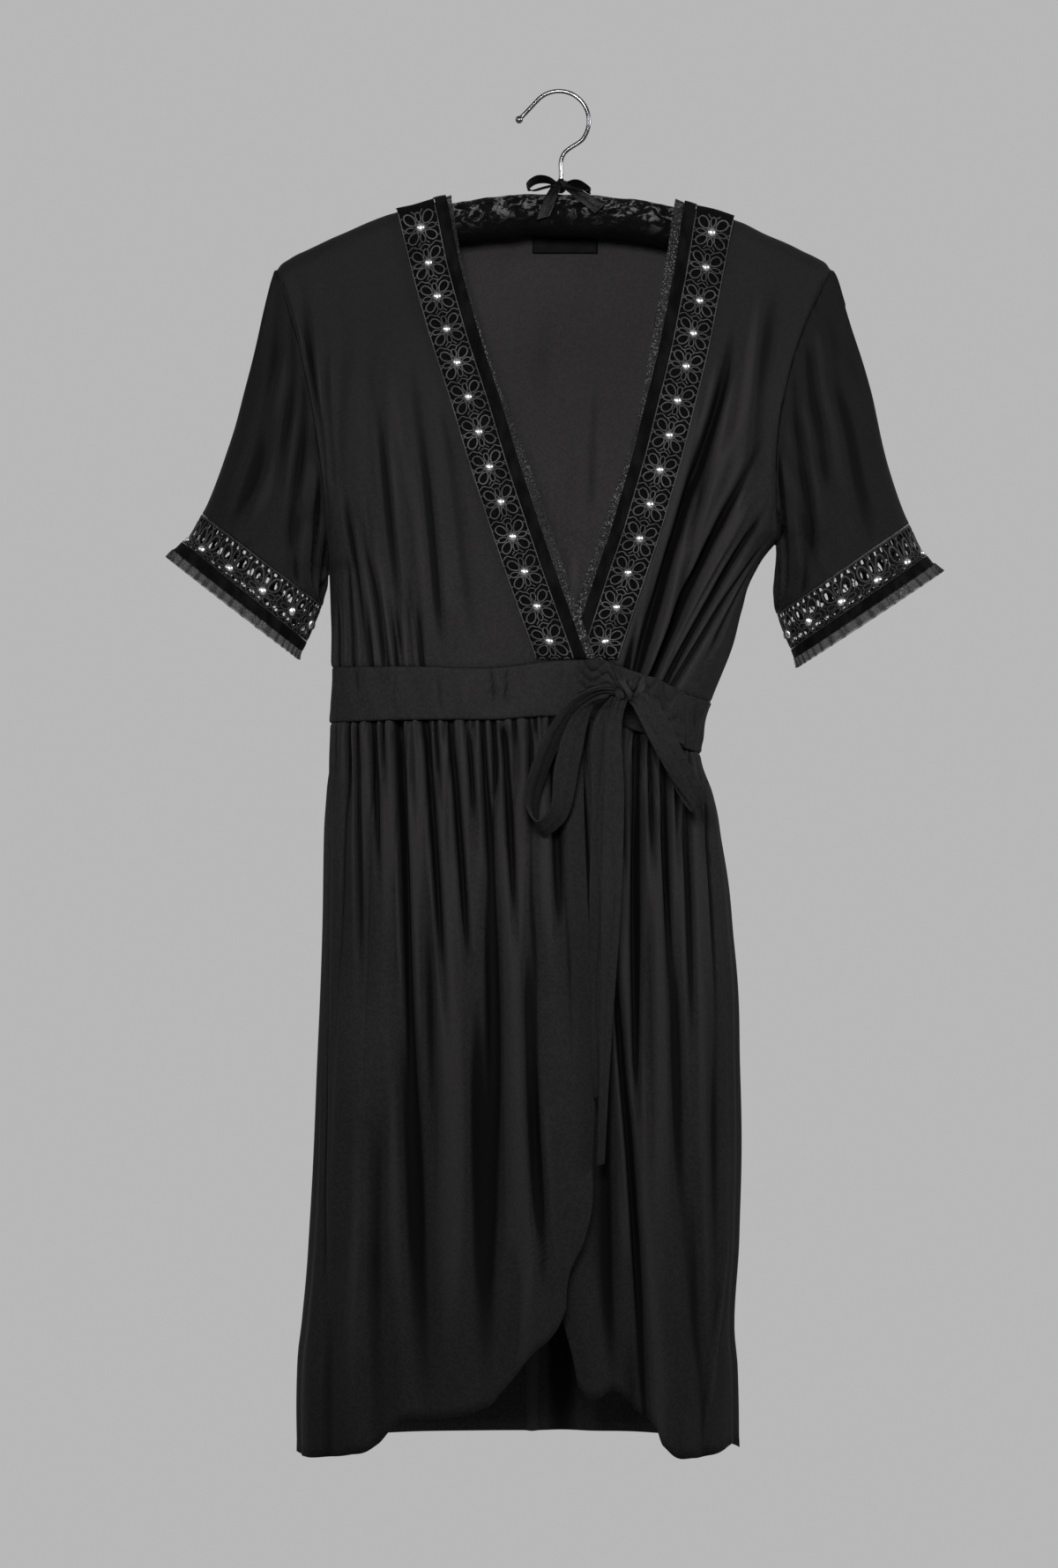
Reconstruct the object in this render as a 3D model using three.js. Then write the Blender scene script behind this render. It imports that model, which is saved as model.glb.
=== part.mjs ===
import * as THREE from 'three';

// A short-sleeved wrap dress hanging on a padded hanger, in millimetres.
// X runs to the viewer's right, Y to the back and Z up. The origin is where the hook rests,
// the underside of its wire at the top of the arc. Left and right in names are the wearer's.

// Driving sizes
const CLOTH = 1.5;            // wall of the crepe
const TRIM = 1.1;             // wall of lace, ribbon and frill
const SEAM = 0.4;             // clear gap between two pieces that are sewn together
const RIDE = 0.8;             // clear gap under a piece that lies on the cloth
const WIRE = 3.5;             // hook wire
const HOOK_RADIUS = 23.7;     // middle of the wire to the middle of the hook's arc
const PAD_HEIGHT = 35;        // padded hanger, top to bottom
const PAD_DEPTH = 31;         // padded hanger, front to back
const SHOULDER_HALF = 19;     // depth of the dress in front of the hanger's middle line
const SHOULDER_TURN = 18;     // height in which the cloth turns over the hanger
const SHOULDER_REACH = 130;   // height in which the shoulders widen into the bust
const BODY_ROUND = 2.3;       // 2 is an ellipse, more is squarer
const LACE_WIDTH = 28;
const LACE_PITCH = 28.2;      // one flower along the band
const LACE_LEAD = 17;         // lace on top of the shoulder, before the first flower
const NECK_FLOWERS = 13;
const CUFF_FLOWERS = 12;
const RIBBON_WIDTH = 9;
const FRILL_WIDTH = 6.5;
const NECK_FRILL_WAVES = 20;
const CUFF_FRILL_PLEATS = 24;
const BELT = 1.6;             // belt cloth, folded double
const LAP = 52;               // how far the under front reaches beneath the over front

const CREPE = { color: 0x262425, roughness: 0.82, metalness: 0 };
const VELVET = { color: 0x101011, roughness: 0.9, metalness: 0 };
const CRUSHED = { color: 0x17171b, roughness: 0.6, metalness: 0 };
const LACE_CORD = { color: 0x1a1919, roughness: 0.75, metalness: 0 };
const TULLE = { color: 0x2b2a2b, roughness: 0.85, metalness: 0 };
const SATIN = { color: 0x151516, roughness: 0.45, metalness: 0 };
const CHROME = { color: 0xb9bcc0, roughness: 0.2, metalness: 1 };

const { lerp, clamp } = THREE.MathUtils;
const group = new THREE.Group();

function smooth(t) {
  const s = clamp(t, 0, 1);
  return s * s * (3 - 2 * s);
}

// A smooth line through one column of a table, read against another column.
function track(rows, from, to) {
  const points = rows.map((row) => [row[from], row[to]]).sort((a, b) => a[0] - b[0]);
  const slopes = points.map((point, i) => {
    const before = points[Math.max(i - 1, 0)];
    const after = points[Math.min(i + 1, points.length - 1)];
    return (after[1] - before[1]) / (after[0] - before[0]);
  });
  return (at) => {
    if (at <= points[0][0]) return points[0][1];
    if (at >= points[points.length - 1][0]) return points[points.length - 1][1];
    const i = points.findIndex((point) => point[0] > at) - 1;
    const span = points[i + 1][0] - points[i][0];
    const t = (at - points[i][0]) / span;
    const a = points[i][1] + slopes[i] * span * t;
    const b = points[i + 1][1] - slopes[i + 1] * span * (1 - t);
    const s = smooth(t);
    return lerp(a, b, s);
  };
}

// Outline of the body of the dress below the armholes, seen from the front
const TRUNK = [
  { z: -354, left: -183, right: 175 },
  { z: -378, left: -182, right: 157 },
  { z: -410, left: -181, right: 145 },
  { z: -441, left: -180, right: 137 },
  { z: -486, left: -181, right: 120 },
  { z: -512, left: -182, right: 114 },
  { z: -530, left: -182, right: 113 },
  { z: -556, left: -183, right: 121 },
  { z: -591, left: -185, right: 127 },
  { z: -661, left: -187, right: 136.5 },
  { z: -766, left: -191, right: 142 },
  { z: -906, left: -197.5, right: 141.5 },
  { z: -976, left: -203, right: 137.5 },
  { z: -1011, left: -206.5, right: 140 },
  { z: -1085, left: -206.5, right: 141 },
];

// How far the body stands before and behind the hanger's middle line
const PROFILE = [
  { z: -100, front: 24, back: 22 },
  { z: -200, front: 38, back: 32 },
  { z: -300, front: 46, back: 38 },
  { z: -380, front: 49, back: 40 },
  { z: -512, front: 50, back: 42 },
  { z: -580, front: 55, back: 47 },
  { z: -700, front: 61, back: 53 },
  { z: -850, front: 66, back: 58 },
  { z: -1085, front: 70, back: 63 },
];

// The shoulder seam on top of the hanger, out from the middle of the shoulders
const SHOULDER_MIDDLE = -4;
const SHOULDER = [
  { out: 0, z: -77 },
  { out: 30, z: -78.2 },
  { out: 84, z: -85 },
  { out: 111, z: -92 },
  { out: 136, z: -98.5 },
  { out: 168, z: -112 },
  { out: 197, z: -125.5 },
  { out: 212, z: -133.5 },
  { out: 220, z: -140 },
];
const shoulderLine = track(SHOULDER, 'out', 'z');
const shoulderZ = (x) => shoulderLine(Math.abs(x - SHOULDER_MIDDLE));

// Armholes: a loop from the shoulder's tip to the underarm, curved in towards the body
const ARMHOLES = {
  left: { topX: -224, topZ: -140, lowX: -182, lowZ: -378, inward: 10, front: 34, back: 30 },
  right: { topX: 216, topZ: -140, lowX: 175, lowZ: -354, inward: -20, front: 34, back: 30 },
};
const trunkX = { left: track(TRUNK, 'z', 'left'), right: track(TRUNK, 'z', 'right') };
const profile = { front: track(PROFILE, 'z', 'front'), back: track(PROFILE, 'z', 'back') };

function armShare(side, z) {
  const hole = ARMHOLES[side];
  return clamp((hole.topZ - z) / (hole.topZ - hole.lowZ), 0, 1);
}

function edgeX(side, z) {
  const hole = ARMHOLES[side];
  if (z <= hole.lowZ) return trunkX[side](z);
  const share = armShare(side, z);
  return lerp(hole.topX, hole.lowX, share) + hole.inward * 4 * share * (1 - share);
}

// Depth of the cloth in front of or behind the middle plane, at a place seen from the front
function depthAt(face, x, z) {
  const middle = (edgeX('left', z) + edgeX('right', z)) / 2;
  const half = (edgeX('right', z) - edgeX('left', z)) / 2;
  const side = x < middle ? 'left' : 'right';
  const share = armShare(side, z);
  const rim = z > ARMHOLES[side].lowZ ? ARMHOLES[side][face] * 2 * Math.sqrt(share * (1 - share)) : 0;
  const out = clamp(Math.abs(x - middle) / half, 0, 1);
  const full = profile[face](z);
  const body = rim + (full - rim) * (1 - out ** BODY_ROUND) ** (1 / BODY_ROUND);
  const drop = shoulderZ(x) - z;
  const turn = clamp(drop / SHOULDER_TURN, 0, 1);
  const over = Math.sqrt(1 - (1 - turn) ** 2);
  return over * lerp(SHOULDER_HALF, body, smooth((drop - SHOULDER_TURN) / SHOULDER_REACH));
}

function skin(face, x, z) {
  const depth = depthAt(face, x, z) + SEAM / 2;
  return new THREE.Vector3(x, face === 'front' ? -depth : depth, z);
}

// Folds: a trough (deep is positive) or a ridge (deep is negative) down the cloth, fading at both ends
const FOLDS = {
  bodice_front_right: [
    { top: -215, low: -460, topX: -146, lowX: -122, deep: 4, wide: 9 },
    { top: -200, low: -420, topX: -118, lowX: -92, deep: 3, wide: 8 },
    { top: -300, low: -460, topX: -172, lowX: -150, deep: 2.5, wide: 7 },
  ],
  bodice_front_left: [
    { top: -230, low: -475, topX: 132, lowX: 60, deep: 5, wide: 7 },
    { top: -285, low: -480, topX: 158, lowX: 69, deep: 5, wide: 8 },
    { top: -320, low: -480, topX: 168, lowX: 84, deep: 4, wide: 7 },
    { top: -260, low: -470, topX: 146, lowX: 66, deep: -3, wide: 9 },
  ],
  bodice_back: [
    { top: -250, low: -460, topX: -130, lowX: -112, deep: 3, wide: 10 },
    { top: -250, low: -460, topX: -40, lowX: -45, deep: 2.5, wide: 10 },
    { top: -250, low: -470, topX: 60, lowX: 40, deep: 2.5, wide: 10 },
    { top: -250, low: -470, topX: 130, lowX: 92, deep: 3, wide: 10 },
  ],
  skirt_front_right: [
    { top: -500, low: -640, topX: -147, lowX: -141, deep: 4, wide: 6 },
    { top: -500, low: -1000, topX: -126, lowX: -106, deep: 9, wide: 9 },
    { top: -505, low: -720, topX: -106, lowX: -84, deep: 4, wide: 7 },
    { top: -505, low: -680, topX: -86, lowX: -68, deep: 4, wide: 7 },
    { top: -515, low: -625, topX: -61, lowX: -52, deep: 3, wide: 6 },
    { top: -525, low: -650, topX: -43, lowX: -32, deep: 3, wide: 6 },
    { top: -560, low: -690, topX: -4, lowX: 5, deep: 3, wide: 7 },
    { top: -560, low: -1040, topX: -84, lowX: -80, deep: -5, wide: 14 },
    { top: -620, low: -1090, topX: -160, lowX: -164, deep: -5, wide: 16 },
    { top: -740, low: -940, topX: -23, lowX: 2, deep: 2, wide: 6 },
  ],
  skirt_front_left: [
    { top: -500, low: -630, topX: 60, lowX: 56, deep: 4, wide: 6 },
    { top: -515, low: -700, topX: 82, lowX: 86, deep: 5, wide: 6 },
    { top: -700, low: -1120, topX: 43, lowX: 75, deep: 6, wide: 8 },
    { top: -600, low: -1000, topX: 108, lowX: 112, deep: -4, wide: 16 },
  ],
  skirt_back: [
    { top: -500, low: -900, topX: -130, lowX: -124, deep: 8, wide: 11 },
    { top: -500, low: -1000, topX: -76, lowX: -72, deep: 6, wide: 10 },
    { top: -500, low: -1120, topX: -22, lowX: -20, deep: 8, wide: 9 },
    { top: -500, low: -960, topX: 34, lowX: 42, deep: 6, wide: 10 },
    { top: -510, low: -1040, topX: 84, lowX: 98, deep: 7, wide: 11 },
  ],
};

function foldAt(name, face, point) {
  let out = 0;
  for (const fold of FOLDS[name]) {
    const down = (fold.top - point.z) / (fold.top - fold.low);
    if (down <= 0 || down >= 1) continue;
    const centre = skin(face, lerp(fold.topX, fold.lowX, down), point.z);
    const away = Math.hypot(point.x - centre.x, point.y - centre.y) / fold.wide;
    const fade = smooth(down * 6) * smooth((1 - down) * 3);
    out -= fold.deep * fade * Math.exp(-away * away);
  }
  return out;
}

function addMesh(name, vertices, faces, finish) {
  const geometry = new THREE.BufferGeometry();
  geometry.setAttribute('position', new THREE.Float32BufferAttribute(vertices.flatMap((p) => [p.x, p.y, p.z]), 3));
  const volume = faces.reduce((sum, [a, b, c]) => {
    return sum + vertices[a].dot(vertices[b].clone().cross(vertices[c]));
  }, 0);
  const outward = volume > 0 ? faces : faces.map(([a, b, c]) => [a, c, b]);
  geometry.setIndex(outward.flat());
  geometry.computeVertexNormals();
  const mesh = new THREE.Mesh(geometry, new THREE.MeshStandardMaterial(finish));
  mesh.name = name;
  group.add(mesh);
  return mesh;
}

// A wall of cloth. place(u, v) is its smooth middle form, lift(u, v, point) moves the outer face
// out along the form's normal, and rows lists v with the number of columns at that height.
// half keeps a front or a back on its own side of the seams.
function wall(name, { place, lift = () => 0, rows, inside, thick, ring = false, half = null, finish }) {
  const step = 1e-3;
  const normal = (u, v) => {
    const u0 = ring ? u - step : Math.max(u - step, 0);
    const u1 = ring ? u + step : Math.min(u + step, 1);
    const v0 = Math.max(v - step, 0);
    const v1 = Math.min(v + step, 1);
    const across = place(u1, v).sub(place(u0, v));
    const down = place(u, v1).sub(place(u, v0));
    return across.cross(down).normalize();
  };
  const probe = place(0.5, 0.5);
  const way = normal(0.5, 0.5).dot(probe.clone().sub(inside)) > 0 ? 1 : -1;
  const vertices = [];
  const add = (point) => {
    if (half === 'front') point.setY(Math.min(point.y, -SEAM / 2));
    if (half === 'back') point.setY(Math.max(point.y, SEAM / 2));
    return vertices.push(point) - 1;
  };
  const outerRows = [];
  const innerRows = [];
  for (const { v, columns } of rows) {
    const outer = [];
    const inner = [];
    const last = ring ? columns - 1 : columns;
    for (let i = 0; i <= last; i += 1) {
      const u = i / columns;
      const point = place(u, v);
      const out = normal(u, v).multiplyScalar(way);
      const rise = lift(u, v, point);
      outer.push({ u, id: add(point.clone().addScaledVector(out, rise)) });
      inner.push({ u, id: add(point.clone().addScaledVector(out, rise - thick)) });
    }
    if (ring) {
      outer.push({ u: 1, id: outer[0].id });
      inner.push({ u: 1, id: inner[0].id });
    }
    outerRows.push(outer);
    innerRows.push(inner);
  }
  const faces = [];
  const strip = (a, b, turned) => {
    let i = 0;
    let j = 0;
    while (i < a.length - 1 || j < b.length - 1) {
      const nextA = i < a.length - 1 ? a[i + 1].u : Infinity;
      const nextB = j < b.length - 1 ? b[j + 1].u : Infinity;
      const face = nextA <= nextB ? [a[i].id, b[j].id, a[i + 1].id] : [a[i].id, b[j].id, b[j + 1].id];
      faces.push(turned ? [face[0], face[2], face[1]] : face);
      if (nextA <= nextB) i += 1;
      else j += 1;
    }
  };
  for (let r = 0; r < rows.length - 1; r += 1) {
    strip(outerRows[r], outerRows[r + 1], false);
    strip(innerRows[r], innerRows[r + 1], true);
  }
  const bottom = rows.length - 1;
  strip(innerRows[0], outerRows[0], false);
  strip(outerRows[bottom], innerRows[bottom], false);
  if (!ring) {
    const first = (list) => list.map((row, r) => ({ u: r, id: row[0].id }));
    const final = (list) => list.map((row, r) => ({ u: r, id: row[row.length - 1].id }));
    strip(first(outerRows), first(innerRows), false);
    strip(final(outerRows), final(innerRows), true);
  }
  return addMesh(name, vertices, faces, finish);
}

const evenRows = (count, columns) => Array.from({ length: count + 1 }, (_, i) => ({ v: i / count, columns }));

// Neck bands: the middle line of each lace band, from the shoulder seam to the waist
const NECK = {
  right: { inward: 1, line: [
    { z: -90, x: -114 }, { z: -169, x: -95 }, { z: -251, x: -70 }, { z: -331, x: -45.2 }, { z: -450, x: -4 },
  ] },
  left: { inward: -1, line: [
    { z: -90, x: 124 }, { z: -171, x: 109.5 }, { z: -253, x: 91 }, { z: -331, x: 70 }, { z: -383, x: 53.5 },
    { z: -470, x: 25 },
  ] },
};
for (const band of Object.values(NECK)) band.x = track(band.line, 'z', 'x');
const NECK_SEAM_Z = -90;      // about where the bands meet the shoulder seam
const NECK_FOOT_Z = -455;     // about where they meet the waistband
const SLANT = 1.045;          // the bands lean, so they are this much wider along X
const HALF_LACE = (LACE_WIDTH / 2) * SLANT;
const RIBBON_FROM = HALF_LACE + SEAM;
const RIBBON_TO = RIBBON_FROM + RIBBON_WIDTH * SLANT;
const CLOTH_EDGE = RIBBON_TO - 0.7;   // the fronts end just short of the ribbon's edge
const FRILL_FROM = RIBBON_TO + 0.2;
const FRILL_TO = FRILL_FROM + FRILL_WIDTH * SLANT;

// The waistband's two seams, which drop towards the wearer's left. Behind they run straight.
const WAIST = [
  { x: -184, top: -456, low: -500 },
  { x: -107, top: -457, low: -498.5 },
  { x: -49, top: -458, low: -498.5 },
  { x: 16, top: -452, low: -497 },
  { x: 60, top: -461, low: -507 },
  { x: 100, top: -478, low: -521 },
  { x: 122, top: -484, low: -525 },
];
const WAIST_Z = -480;         // about the middle of the waistband
const waistTop = track(WAIST, 'x', 'top');
const waistLow = track(WAIST, 'x', 'low');
function waistSeam(face, edge, x) {
  if (face === 'front') return edge === 'top' ? waistTop(x) : waistLow(x);
  const [first, last] = [WAIST[0], WAIST[WAIST.length - 1]];
  return lerp(first[edge], last[edge], clamp((x - first.x) / (last.x - first.x), 0, 1));
}

// A place on a neck band: out is measured towards the throat, drop from the shoulder seam
function bandPlace(side, out, drop, lean = 0) {
  const band = NECK[side];
  const seam = shoulderZ(band.x(NECK_SEAM_Z));
  const z0 = seam - drop + lean;
  const x = band.x(z0) + band.inward * out;
  const follow = (shoulderZ(x) - seam) * (1 - smooth(drop / 60));
  return [x, z0 + follow];
}

// The wrap: near its free edge the over front stands out a little and the under front sinks in
const lapOver = (x) => 2 * smooth((x + 60) / 60);
const lapUnder = (x, z) => -lerp(7, 11, smooth((-480 - z) / 60)) * (1 - smooth((x - 34) / 45));

// Rows down a panel: the first ones turn over the hanger, the others are spread down the body
const TURN_PART = 0.14;
const TURN_STEPS = 4;
function turnDown(v, length) {
  if (v <= TURN_PART) return SHOULDER_TURN * (1 - Math.cos((v / TURN_PART) * Math.PI / 2));
  return SHOULDER_TURN + (length - SHOULDER_TURN) * ((v - TURN_PART) / (1 - TURN_PART));
}
function downRows(count) {
  const turn = Array.from({ length: TURN_STEPS + 1 }, (_, i) => (TURN_PART * i) / TURN_STEPS);
  const down = Array.from({ length: count }, (_, i) => lerp(TURN_PART, 1, (i + 1) / count));
  return [...turn, ...down];
}

function bodiceFront(name, side, sleeveSide, { lap, gathers }) {
  const outline = ARMHOLES[sleeveSide];
  const seam = shoulderZ(NECK[side].x(NECK_SEAM_Z));
  const lowZ = waistTop(NECK[side].x(NECK_FOOT_Z) + NECK[side].inward * CLOTH_EDGE) + SEAM;
  const sideLow = waistTop(trunkX[sleeveSide](WAIST_Z)) + SEAM;
  const share = (u) => Math.sin((u * Math.PI) / 2) ** (2 / BODY_ROUND);
  const flat = (u, v) => {
    const [neckX, neckZ] = bandPlace(side, CLOTH_EDGE, turnDown(v, seam - lowZ));
    const sideZ = outline.topZ - turnDown(v, outline.topZ - sideLow);
    return [lerp(neckX, edgeX(sleeveSide, sideZ), share(u)), lerp(neckZ, sideZ, share(u))];
  };
  const place = (u, v) => {
    const [x, z] = flat(u, v);
    const [topX, topZ] = flat(u, 0);
    const [lowX, low] = flat(u, 1);
    const topFill = (shoulderZ(topX) - topZ) * (1 - v) ** 2;
    const lowFill = (waistTop(lowX) + SEAM - low) * v * v;
    return skin('front', x, z + topFill + lowFill);
  };
  const columns = 15;
  wall(name, {
    place,
    half: 'front',
    inside: new THREE.Vector3(0, 0, -300),
    lift: (u, v, point) => {
      const beside = -NECK[side].inward * (point.x - NECK[side].x(point.z)) - HALF_LACE;
      const free = smooth((beside - 2) / 10);
      const pucker = gathers * smooth((v - 0.8) / 0.18) * smooth((-104 - point.x) / 8);
      return lap(point.x, point.z) + free * foldAt(name, 'front', point) + pucker * Math.cos(u * 30 * Math.PI);
    },
    rows: downRows(8).map((v) => ({ v, columns: gathers && v > 0.85 ? columns * 2 : columns })),
    thick: CLOTH,
    finish: CREPE,
  });
}

const lapBodiceUnder = (x, z) => lapUnder(x, z) * smooth((-340 - z) / 60);
const lapBodiceOver = (x, z) => lapOver(x) * smooth((-370 - z) / 40);
bodiceFront('bodice_front_right', 'right', 'left', { lap: lapBodiceOver, gathers: 1.3 });
bodiceFront('bodice_front_left', 'left', 'right', { lap: lapBodiceUnder, gathers: 0 });

// The back neck dips behind the hanger
const NECK_HALF = { left: bandPlace('right', CLOTH_EDGE, 0)[0], right: bandPlace('left', CLOTH_EDGE, 0)[0] };
const BACK_NECK_DIP = 19;
function backTop(x) {
  const half = (NECK_HALF.right - NECK_HALF.left) / 2;
  const out = Math.abs(x - (NECK_HALF.left + NECK_HALF.right) / 2) / half;
  if (out >= 1) return shoulderZ(x);
  return lerp(shoulderZ(NECK_HALF.left), shoulderZ(NECK_HALF.right), 0.5) - BACK_NECK_DIP * (1 - out ** 3);
}

// Across a row from side to side, closer together where the cloth turns to the back
function across(u) {
  const angle = u * Math.PI;
  const c = Math.cos(angle);
  return 0.5 - 0.5 * Math.sign(c) * Math.abs(c) ** (2 / BODY_ROUND);
}

// Shares of the back's width at its columns, closest at the corners of the neck and at the sides
const BACK_COLUMNS = [
  0, 0.006, 0.03, 0.08, 0.15, 0.22, 0.27, 0.303, 0.318, 0.34, 0.4,
  0.5, 0.6, 0.66, 0.7, 0.718, 0.735, 0.77, 0.83, 0.9, 0.96, 0.993, 1,
];
function bodiceBackPlace(u, v) {
  const at = u * (BACK_COLUMNS.length - 1);
  const i = Math.min(Math.floor(at), BACK_COLUMNS.length - 2);
  const share = lerp(BACK_COLUMNS[i], BACK_COLUMNS[i + 1], at - i);
  const flat = (down) => {
    const leftLow = waistSeam('back', 'top', trunkX.left(WAIST_Z)) + SEAM;
    const rightLow = waistSeam('back', 'top', trunkX.right(WAIST_Z)) + SEAM;
    const leftZ = ARMHOLES.left.topZ - turnDown(down, ARMHOLES.left.topZ - leftLow);
    const rightZ = ARMHOLES.right.topZ - turnDown(down, ARMHOLES.right.topZ - rightLow);
    return [lerp(edgeX('left', leftZ), edgeX('right', rightZ), share), lerp(leftZ, rightZ, share)];
  };
  const [x, z] = flat(v);
  const [topX, topZ] = flat(0);
  const [lowX, lowZ] = flat(1);
  const topFill = (backTop(topX) - topZ) * (1 - v) ** 2;
  const lowFill = (waistSeam('back', 'top', lowX) + SEAM - lowZ) * v * v;
  return skin('back', x, z + topFill + lowFill);
}
wall('bodice_back', {
  place: bodiceBackPlace,
  half: 'back',
  inside: new THREE.Vector3(0, 0, -300),
  lift: (u, v, point) => foldAt('bodice_back', 'back', point),
  rows: downRows(6).map((v) => ({ v, columns: BACK_COLUMNS.length - 1 })),
  thick: CLOTH,
  finish: CREPE,
});

// A place round the body at one height: turn 0 is the wearer's right side, 1 the left side
function roundX(turn, z) {
  const left = trunkX.left(z);
  const right = trunkX.right(z);
  return lerp(left, right, across(turn));
}
function turnOf(x, z) {
  const left = trunkX.left(z);
  const right = trunkX.right(z);
  const c = 1 - (2 * (x - left)) / (right - left);
  return Math.acos(clamp(Math.sign(c) * Math.abs(c) ** (BODY_ROUND / 2), -1, 1)) / Math.PI;
}

// The height of a seam at one turn round the body, where the seam's height depends on X
function settle(turn, seamZ) {
  let z = WAIST_Z;
  for (let i = 0; i < 6; i += 1) z = seamZ(roundX(turn, z));
  return z;
}

// Waistband: a smooth band between the gathered bodice and the gathered skirt
const OVER_EDGE_WAIST = 16.4;
function waistband(name, face, fromX, toX, columns, lap) {
  wall(name, {
    place: (u, v) => {
      const from = fromX === null ? 0 : turnOf(fromX, WAIST_Z);
      const to = toX === null ? 1 : turnOf(toX, WAIST_Z);
      const turn = lerp(from, to, u);
      const z = settle(turn, (x) => lerp(waistSeam(face, 'top', x), waistSeam(face, 'low', x), v));
      return skin(face, roundX(turn, z), z);
    },
    half: face,
    inside: new THREE.Vector3(0, 0, -480),
    lift: (u, v, point) => lap(point.x, point.z),
    rows: evenRows(2, columns),
    thick: CLOTH,
    finish: CREPE,
  });
}
waistband('waistband_front_right', 'front', null, OVER_EDGE_WAIST, 12, (x) => lapOver(x));
waistband('waistband_front_left', 'front', OVER_EDGE_WAIST - LAP, null, 10, lapUnder);
waistband('waistband_back', 'back', null, null, 18, () => 0);

// Skirt. Each column hangs from the waistband's lower seam to its own place on the hem.
const HEM_Z = -1075;
const OVER_EDGE = [
  { z: -492, x: 16.4 },
  { z: -631, x: 21.2 },
  { z: -710, x: 25.9 },
  { z: -850, x: 25.5 },
  { z: -899, x: 19.8 },
  { z: -925, x: 8 },
  { z: -960, x: 5 },
];
const OVER_HEM = [
  { x: 6, z: -950 },
  { x: -3.4, z: -971 },
  { x: -19.7, z: -986 },
  { x: -31.3, z: -1000 },
  { x: -45.6, z: -1018 },
  { x: -60, z: -1031 },
  { x: -104, z: -1040 },
  { x: -125, z: -1043 },
  { x: -142, z: -1061 },
  { x: -161, z: -1069 },
  { x: -206, z: -1078 },
];
const UNDER_EDGE = [
  { z: -492, x: -36 },
  { z: -800, x: -30 },
  { z: -900, x: -14 },
  { z: -990, x: 10 },
  { z: -1020, x: 16 },
];
const UNDER_HEM = [
  { x: 10, z: -1003 },
  { x: 25, z: -1026 },
  { x: 44, z: -1020 },
  { x: 60, z: -1034 },
  { x: 74, z: -1047 },
  { x: 80, z: -1062 },
  { x: 103, z: -1073 },
  { x: 141, z: -1066 },
];
const overEdge = track(OVER_EDGE, 'z', 'x');
const underEdge = track(UNDER_EDGE, 'z', 'x');
const overHem = track(OVER_HEM, 'x', 'z');
const underHem = track(UNDER_HEM, 'x', 'z');
const GATHER_DEPTH = 1.5;
const SKIRT_TOP_Z = -500;     // about where the skirt meets the waistband
const SKIRT_LOW_Z = -1020;    // about where the hem is looked up

function skirtPanel(name, face, { turns, hem, gathers, columns, topRows, lowRows, lap }) {
  const place = (u, v) => {
    const top = settle(turns(u, SKIRT_TOP_Z), (x) => waistSeam(face, 'low', x)) - 2 * SEAM;
    const bottom = hem(roundX(turns(u, SKIRT_LOW_Z), SKIRT_LOW_Z));
    const z = lerp(top, bottom, v);
    return skin(face, roundX(turns(u, z), z), z);
  };
  const rows = topRows.map((v) => ({ v, columns: gathers * 2 }));
  const start = topRows[topRows.length - 1];
  for (let i = 1; i <= lowRows; i += 1) rows.push({ v: lerp(start, 1, i / lowRows), columns });
  const fadeOut = start + 0.03;
  wall(name, {
    place,
    half: face,
    inside: new THREE.Vector3(0, 0, -700),
    lift: (u, v, point) => {
      // Some gathers run further down than others
      const reach = fadeOut * (0.65 + 0.35 * Math.sin(u * gathers * 2.4));
      const gather = GATHER_DEPTH * (1 - smooth(v / reach)) * Math.cos(2 * Math.PI * u * gathers);
      return lap(point.x, point.z) + foldAt(name, face, point) + gather;
    },
    rows,
    thick: CLOTH,
    finish: CREPE,
  });
}
skirtPanel('skirt_front_right', 'front', {
  turns: (u, z) => u * turnOf(overEdge(z), z),
  hem: overHem,
  gathers: 24,
  columns: 29,
  topRows: [0, 0.03, 0.07, 0.12],
  lowRows: 10,
  lap: lapOver,
});
const RECESS = 5;             // the strip beside the deep fold lies further in
skirtPanel('skirt_front_left', 'front', {
  turns: (u, z) => lerp(turnOf(underEdge(z), z), 1, u),
  hem: underHem,
  gathers: 10,
  columns: 17,
  topRows: [0, 0.04, 0.1],
  lowRows: 10,
  lap: (x, z) => {
    const foldX = lerp(43, 75, clamp((-747 - z) / 320, 0, 1));
    return lapUnder(x, z) - RECESS * (1 - smooth((x - foldX + 6) / 8)) * smooth((-640 - z) / 120);
  },
});
skirtPanel('skirt_back', 'back', {
  turns: (u) => u,
  hem: () => HEM_Z,
  gathers: 20,
  columns: 24,
  topRows: [0, 0.05, 0.11],
  lowRows: 7,
  lap: () => 0,
});

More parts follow.
